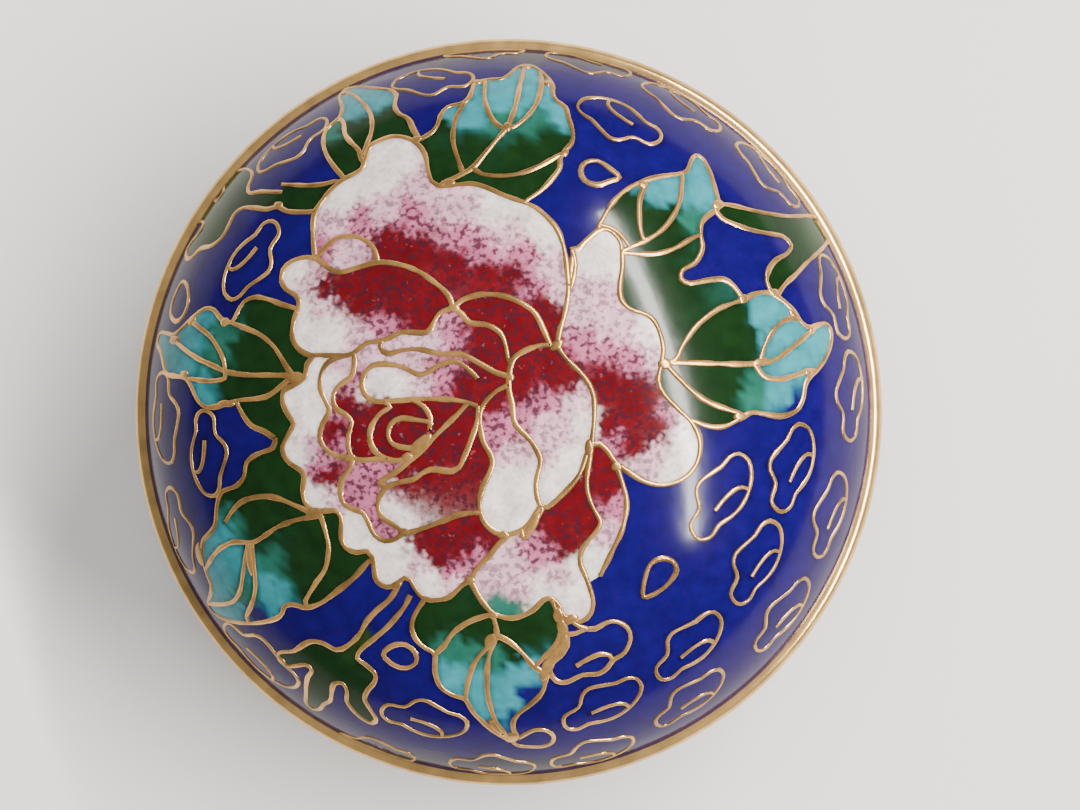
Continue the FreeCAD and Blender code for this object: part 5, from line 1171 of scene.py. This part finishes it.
class PILLBOX_OT_base(bpy.types.Operator):
    """Build the footed bowl with its rim, collar, wires and foot"""
    bl_idname = "pillbox.base"
    bl_label = "Base"

    def execute(self, context):
        s = settings()
        outside = [(RIM_R - a, BASE_Z - b) for a, b in reversed(RIM_PROFILE)]
        section = [(COLLAR_R, BASE_EDGE_Z), *outside, (COLLAR_R, BASE_Z)]
        belongs(lathe("base_rim_look", section, rim_brass()), "base", "gilt_brass", "base_rim")
        top = BASE_Z + COLLAR_RISE
        mouth = COLLAR_R - COLLAR_WALL
        lip = [(COLLAR_R - a, top - b) for a, b in COLLAR_LIP]
        lip += [(mouth + a, top - b) for a, b in reversed(COLLAR_LIP)]
        section = [(mouth, BASE_EDGE_Z), (COLLAR_R, BASE_EDGE_Z), *lip]
        belongs(lathe("base_collar_look", section, rim_brass()), "base", "gilt_brass", "base_collar")
        blue = once("base enamel", plain_enamel, tuple(s.base_blue))
        steps = [FOOT_A + (BOWL_END - FOOT_A) * k / WALL_STEPS for k in range(WALL_STEPS + 1)]
        outer = [(BOWL_R + R_BOWL * math.sin(a), BOWL_Z - R_BOWL * math.cos(a)) for a in steps]
        inside = R_BOWL - ENAMEL
        inner = [(BOWL_R + inside * math.sin(a), BOWL_Z - inside * math.cos(a)) for a in steps]
        inner[-1] = (inner[-1][0], BASE_EDGE_Z)
        belongs(
            lathe("base_ground_look", outer + inner[::-1], blue), "base", "enamel_blue", "base_ground_enamel")
        strokes = {}
        for row, (up, count) in enumerate(BASE_ROWS):
            radius = BOWL_R + R_BOWL * math.sin(FOOT_A + up / R_BOWL)
            for n in range(count):
                middle = 2 * math.pi * BOWL_MEAN * (n + 0.5 * row) / count
                for part, points in (("c", CLOUD), ("h", CLOUD_HOOK)):
                    strokes["%s%d_%d" % (part, row, n)] = [
                        (middle + (a - 0.5) * BASE_CLOUD * BOWL_MEAN / radius, up - b * BASE_CLOUD)
                        for a, b in points]
        obj = wire_piece("base_cloud_wires_look", strokes, bowl, brass(), s.wire_width * 0.85, s.wire_proud)
        belongs(obj, "base", "wire_brass", "base_cloud_wires")
        lining = once("lining", plain_enamel, tuple(s.lining))
        paint("base_lining", lining)
        paint("base_foot_enamel", lining)
        paint("base_shell", once("copper", metal_material, (0.5, 0.2, 0.1), 0.4, 0.4))
        paint("foot_ring", rim_brass())
        return {"FINISHED"}


# lights: name, place, width, height, watts, colour, whether the glass mirrors it
LIGHTS = (
    ("window", (0.25, 0.07, 0.35), 0.62, 0.022, 8.0, (1.0, 0.97, 0.92), True),
    ("ceiling", (-0.15, 0.25, 0.9), 0.7, 0.7, 6.0, (1.0, 0.98, 0.95), False),
    ("front", (0.2, -0.7, 0.5), 0.5, 0.5, 3.0, (1.0, 0.96, 0.9), False),
)
ROOM_LIGHT = 0.35          # from all round
ROOM_MIRRORED = 0.28       # as the glass mirrors it
CAMERA_AIM = 16.1          # height that the camera looks at, millimetres
CAMERA_AWAY = 170          # millimetres from there
CAMERA_LEAN = (1.5, -1.0)  # degrees to the right and away, off straight down
CAMERA_SHIFT = (0.0306, 0.0056)
CAMERA_LENS = 85.2


class PILLBOX_OT_stage(bpy.types.Operator):
    """Add the floor, lights and camera"""
    bl_idname = "pillbox.stage"
    bl_label = "Stage"

    def execute(self, context):
        bpy.ops.object.select_all(action="DESELECT")
        bpy.ops.mesh.primitive_plane_add(size=6, location=(0, 0, 0))
        floor = context.object
        material, _, shader = nodes_of("floor")
        shader.inputs["Base Color"].default_value = (0.62, 0.6, 0.57, 1)
        shader.inputs["Roughness"].default_value = 0.8
        floor.data.materials.append(material)
        for name, place, wide, tall, power, colour, mirrored in LIGHTS:
            bpy.ops.object.light_add(type="AREA", location=place)
            lamp = context.object
            lamp.name = name
            lamp.data.shape = "RECTANGLE"
            lamp.data.size, lamp.data.size_y = wide, tall
            lamp.data.energy = power
            lamp.data.color = colour
            aim = Vector((0, 0, 0.02)) - Vector(place)
            lamp.rotation_euler = aim.to_track_quat("-Z", "Y").to_euler()
            lamp.visible_glossy = mirrored
        world = bpy.data.worlds.new("room")
        world.use_nodes = True
        world.node_tree.nodes["Background"].inputs["Color"].default_value = (0.9, 0.93, 1.0, 1)
        # what the glass mirrors is dimmer than what lights the room
        path = world.node_tree.nodes.new("ShaderNodeLightPath")
        dim = world.node_tree.nodes.new("ShaderNodeMapRange")
        dim.inputs["To Min"].default_value = ROOM_LIGHT
        dim.inputs["To Max"].default_value = ROOM_MIRRORED
        link(world.node_tree, path.outputs["Is Glossy Ray"], dim.inputs["Value"])
        link(world.node_tree, dim.outputs["Result"], world.node_tree.nodes["Background"].inputs["Strength"])
        context.scene.world = world
        # the camera stands a hand's breadth above the lid, a little to one side
        lean = [math.tan(math.radians(angle)) for angle in CAMERA_LEAN]
        back = Vector((*lean, 1)).normalized()
        right = (Vector((1, 0, 0)) - back * back.x).normalized()
        up = back.cross(right)
        turn = Matrix((right, up, back)).transposed().to_4x4()
        bpy.ops.object.camera_add()
        camera = context.object
        eye = (Vector((0, 0, CAMERA_AIM)) + back * CAMERA_AWAY) * MM
        camera.matrix_world = Matrix.Translation(eye) @ turn
        camera.data.lens = CAMERA_LENS
        camera.data.sensor_width = 36
        camera.data.shift_x, camera.data.shift_y = CAMERA_SHIFT
        camera.data.clip_start = 0.01
        context.scene.camera = camera
        return {"FINISHED"}


class PILLBOX_PT_panel(bpy.types.Panel):
    """Sizes, colours and the steps that build the box"""
    bl_label = "Pill box"
    bl_idname = "PILLBOX_PT_panel"
    bl_space_type = "VIEW_3D"
    bl_region_type = "UI"
    bl_category = "Pill box"

    def draw(self, context):
        for key in PillBoxSettings.__annotations__:
            self.layout.prop(context.scene.pill_box, key)
        for step in STEPS:
            self.layout.operator(step.bl_idname)


STEPS = (PILLBOX_OT_lid_picture, PILLBOX_OT_lid_metal, PILLBOX_OT_base, PILLBOX_OT_stage)


def register():
    for kind in (PillBoxSettings, *STEPS, PILLBOX_PT_panel):
        bpy.utils.register_class(kind)
    bpy.types.Scene.pill_box = bpy.props.PointerProperty(type=PillBoxSettings)


def unregister():
    del bpy.types.Scene.pill_box
    for kind in (PILLBOX_PT_panel, *reversed(STEPS), PillBoxSettings):
        bpy.utils.unregister_class(kind)


def main():
    register()
    bpy.ops.pillbox.lid_picture()
    bpy.ops.pillbox.lid_metal()
    bpy.ops.pillbox.base()
    bpy.ops.pillbox.stage()


if __name__ == "__main__":
    main()
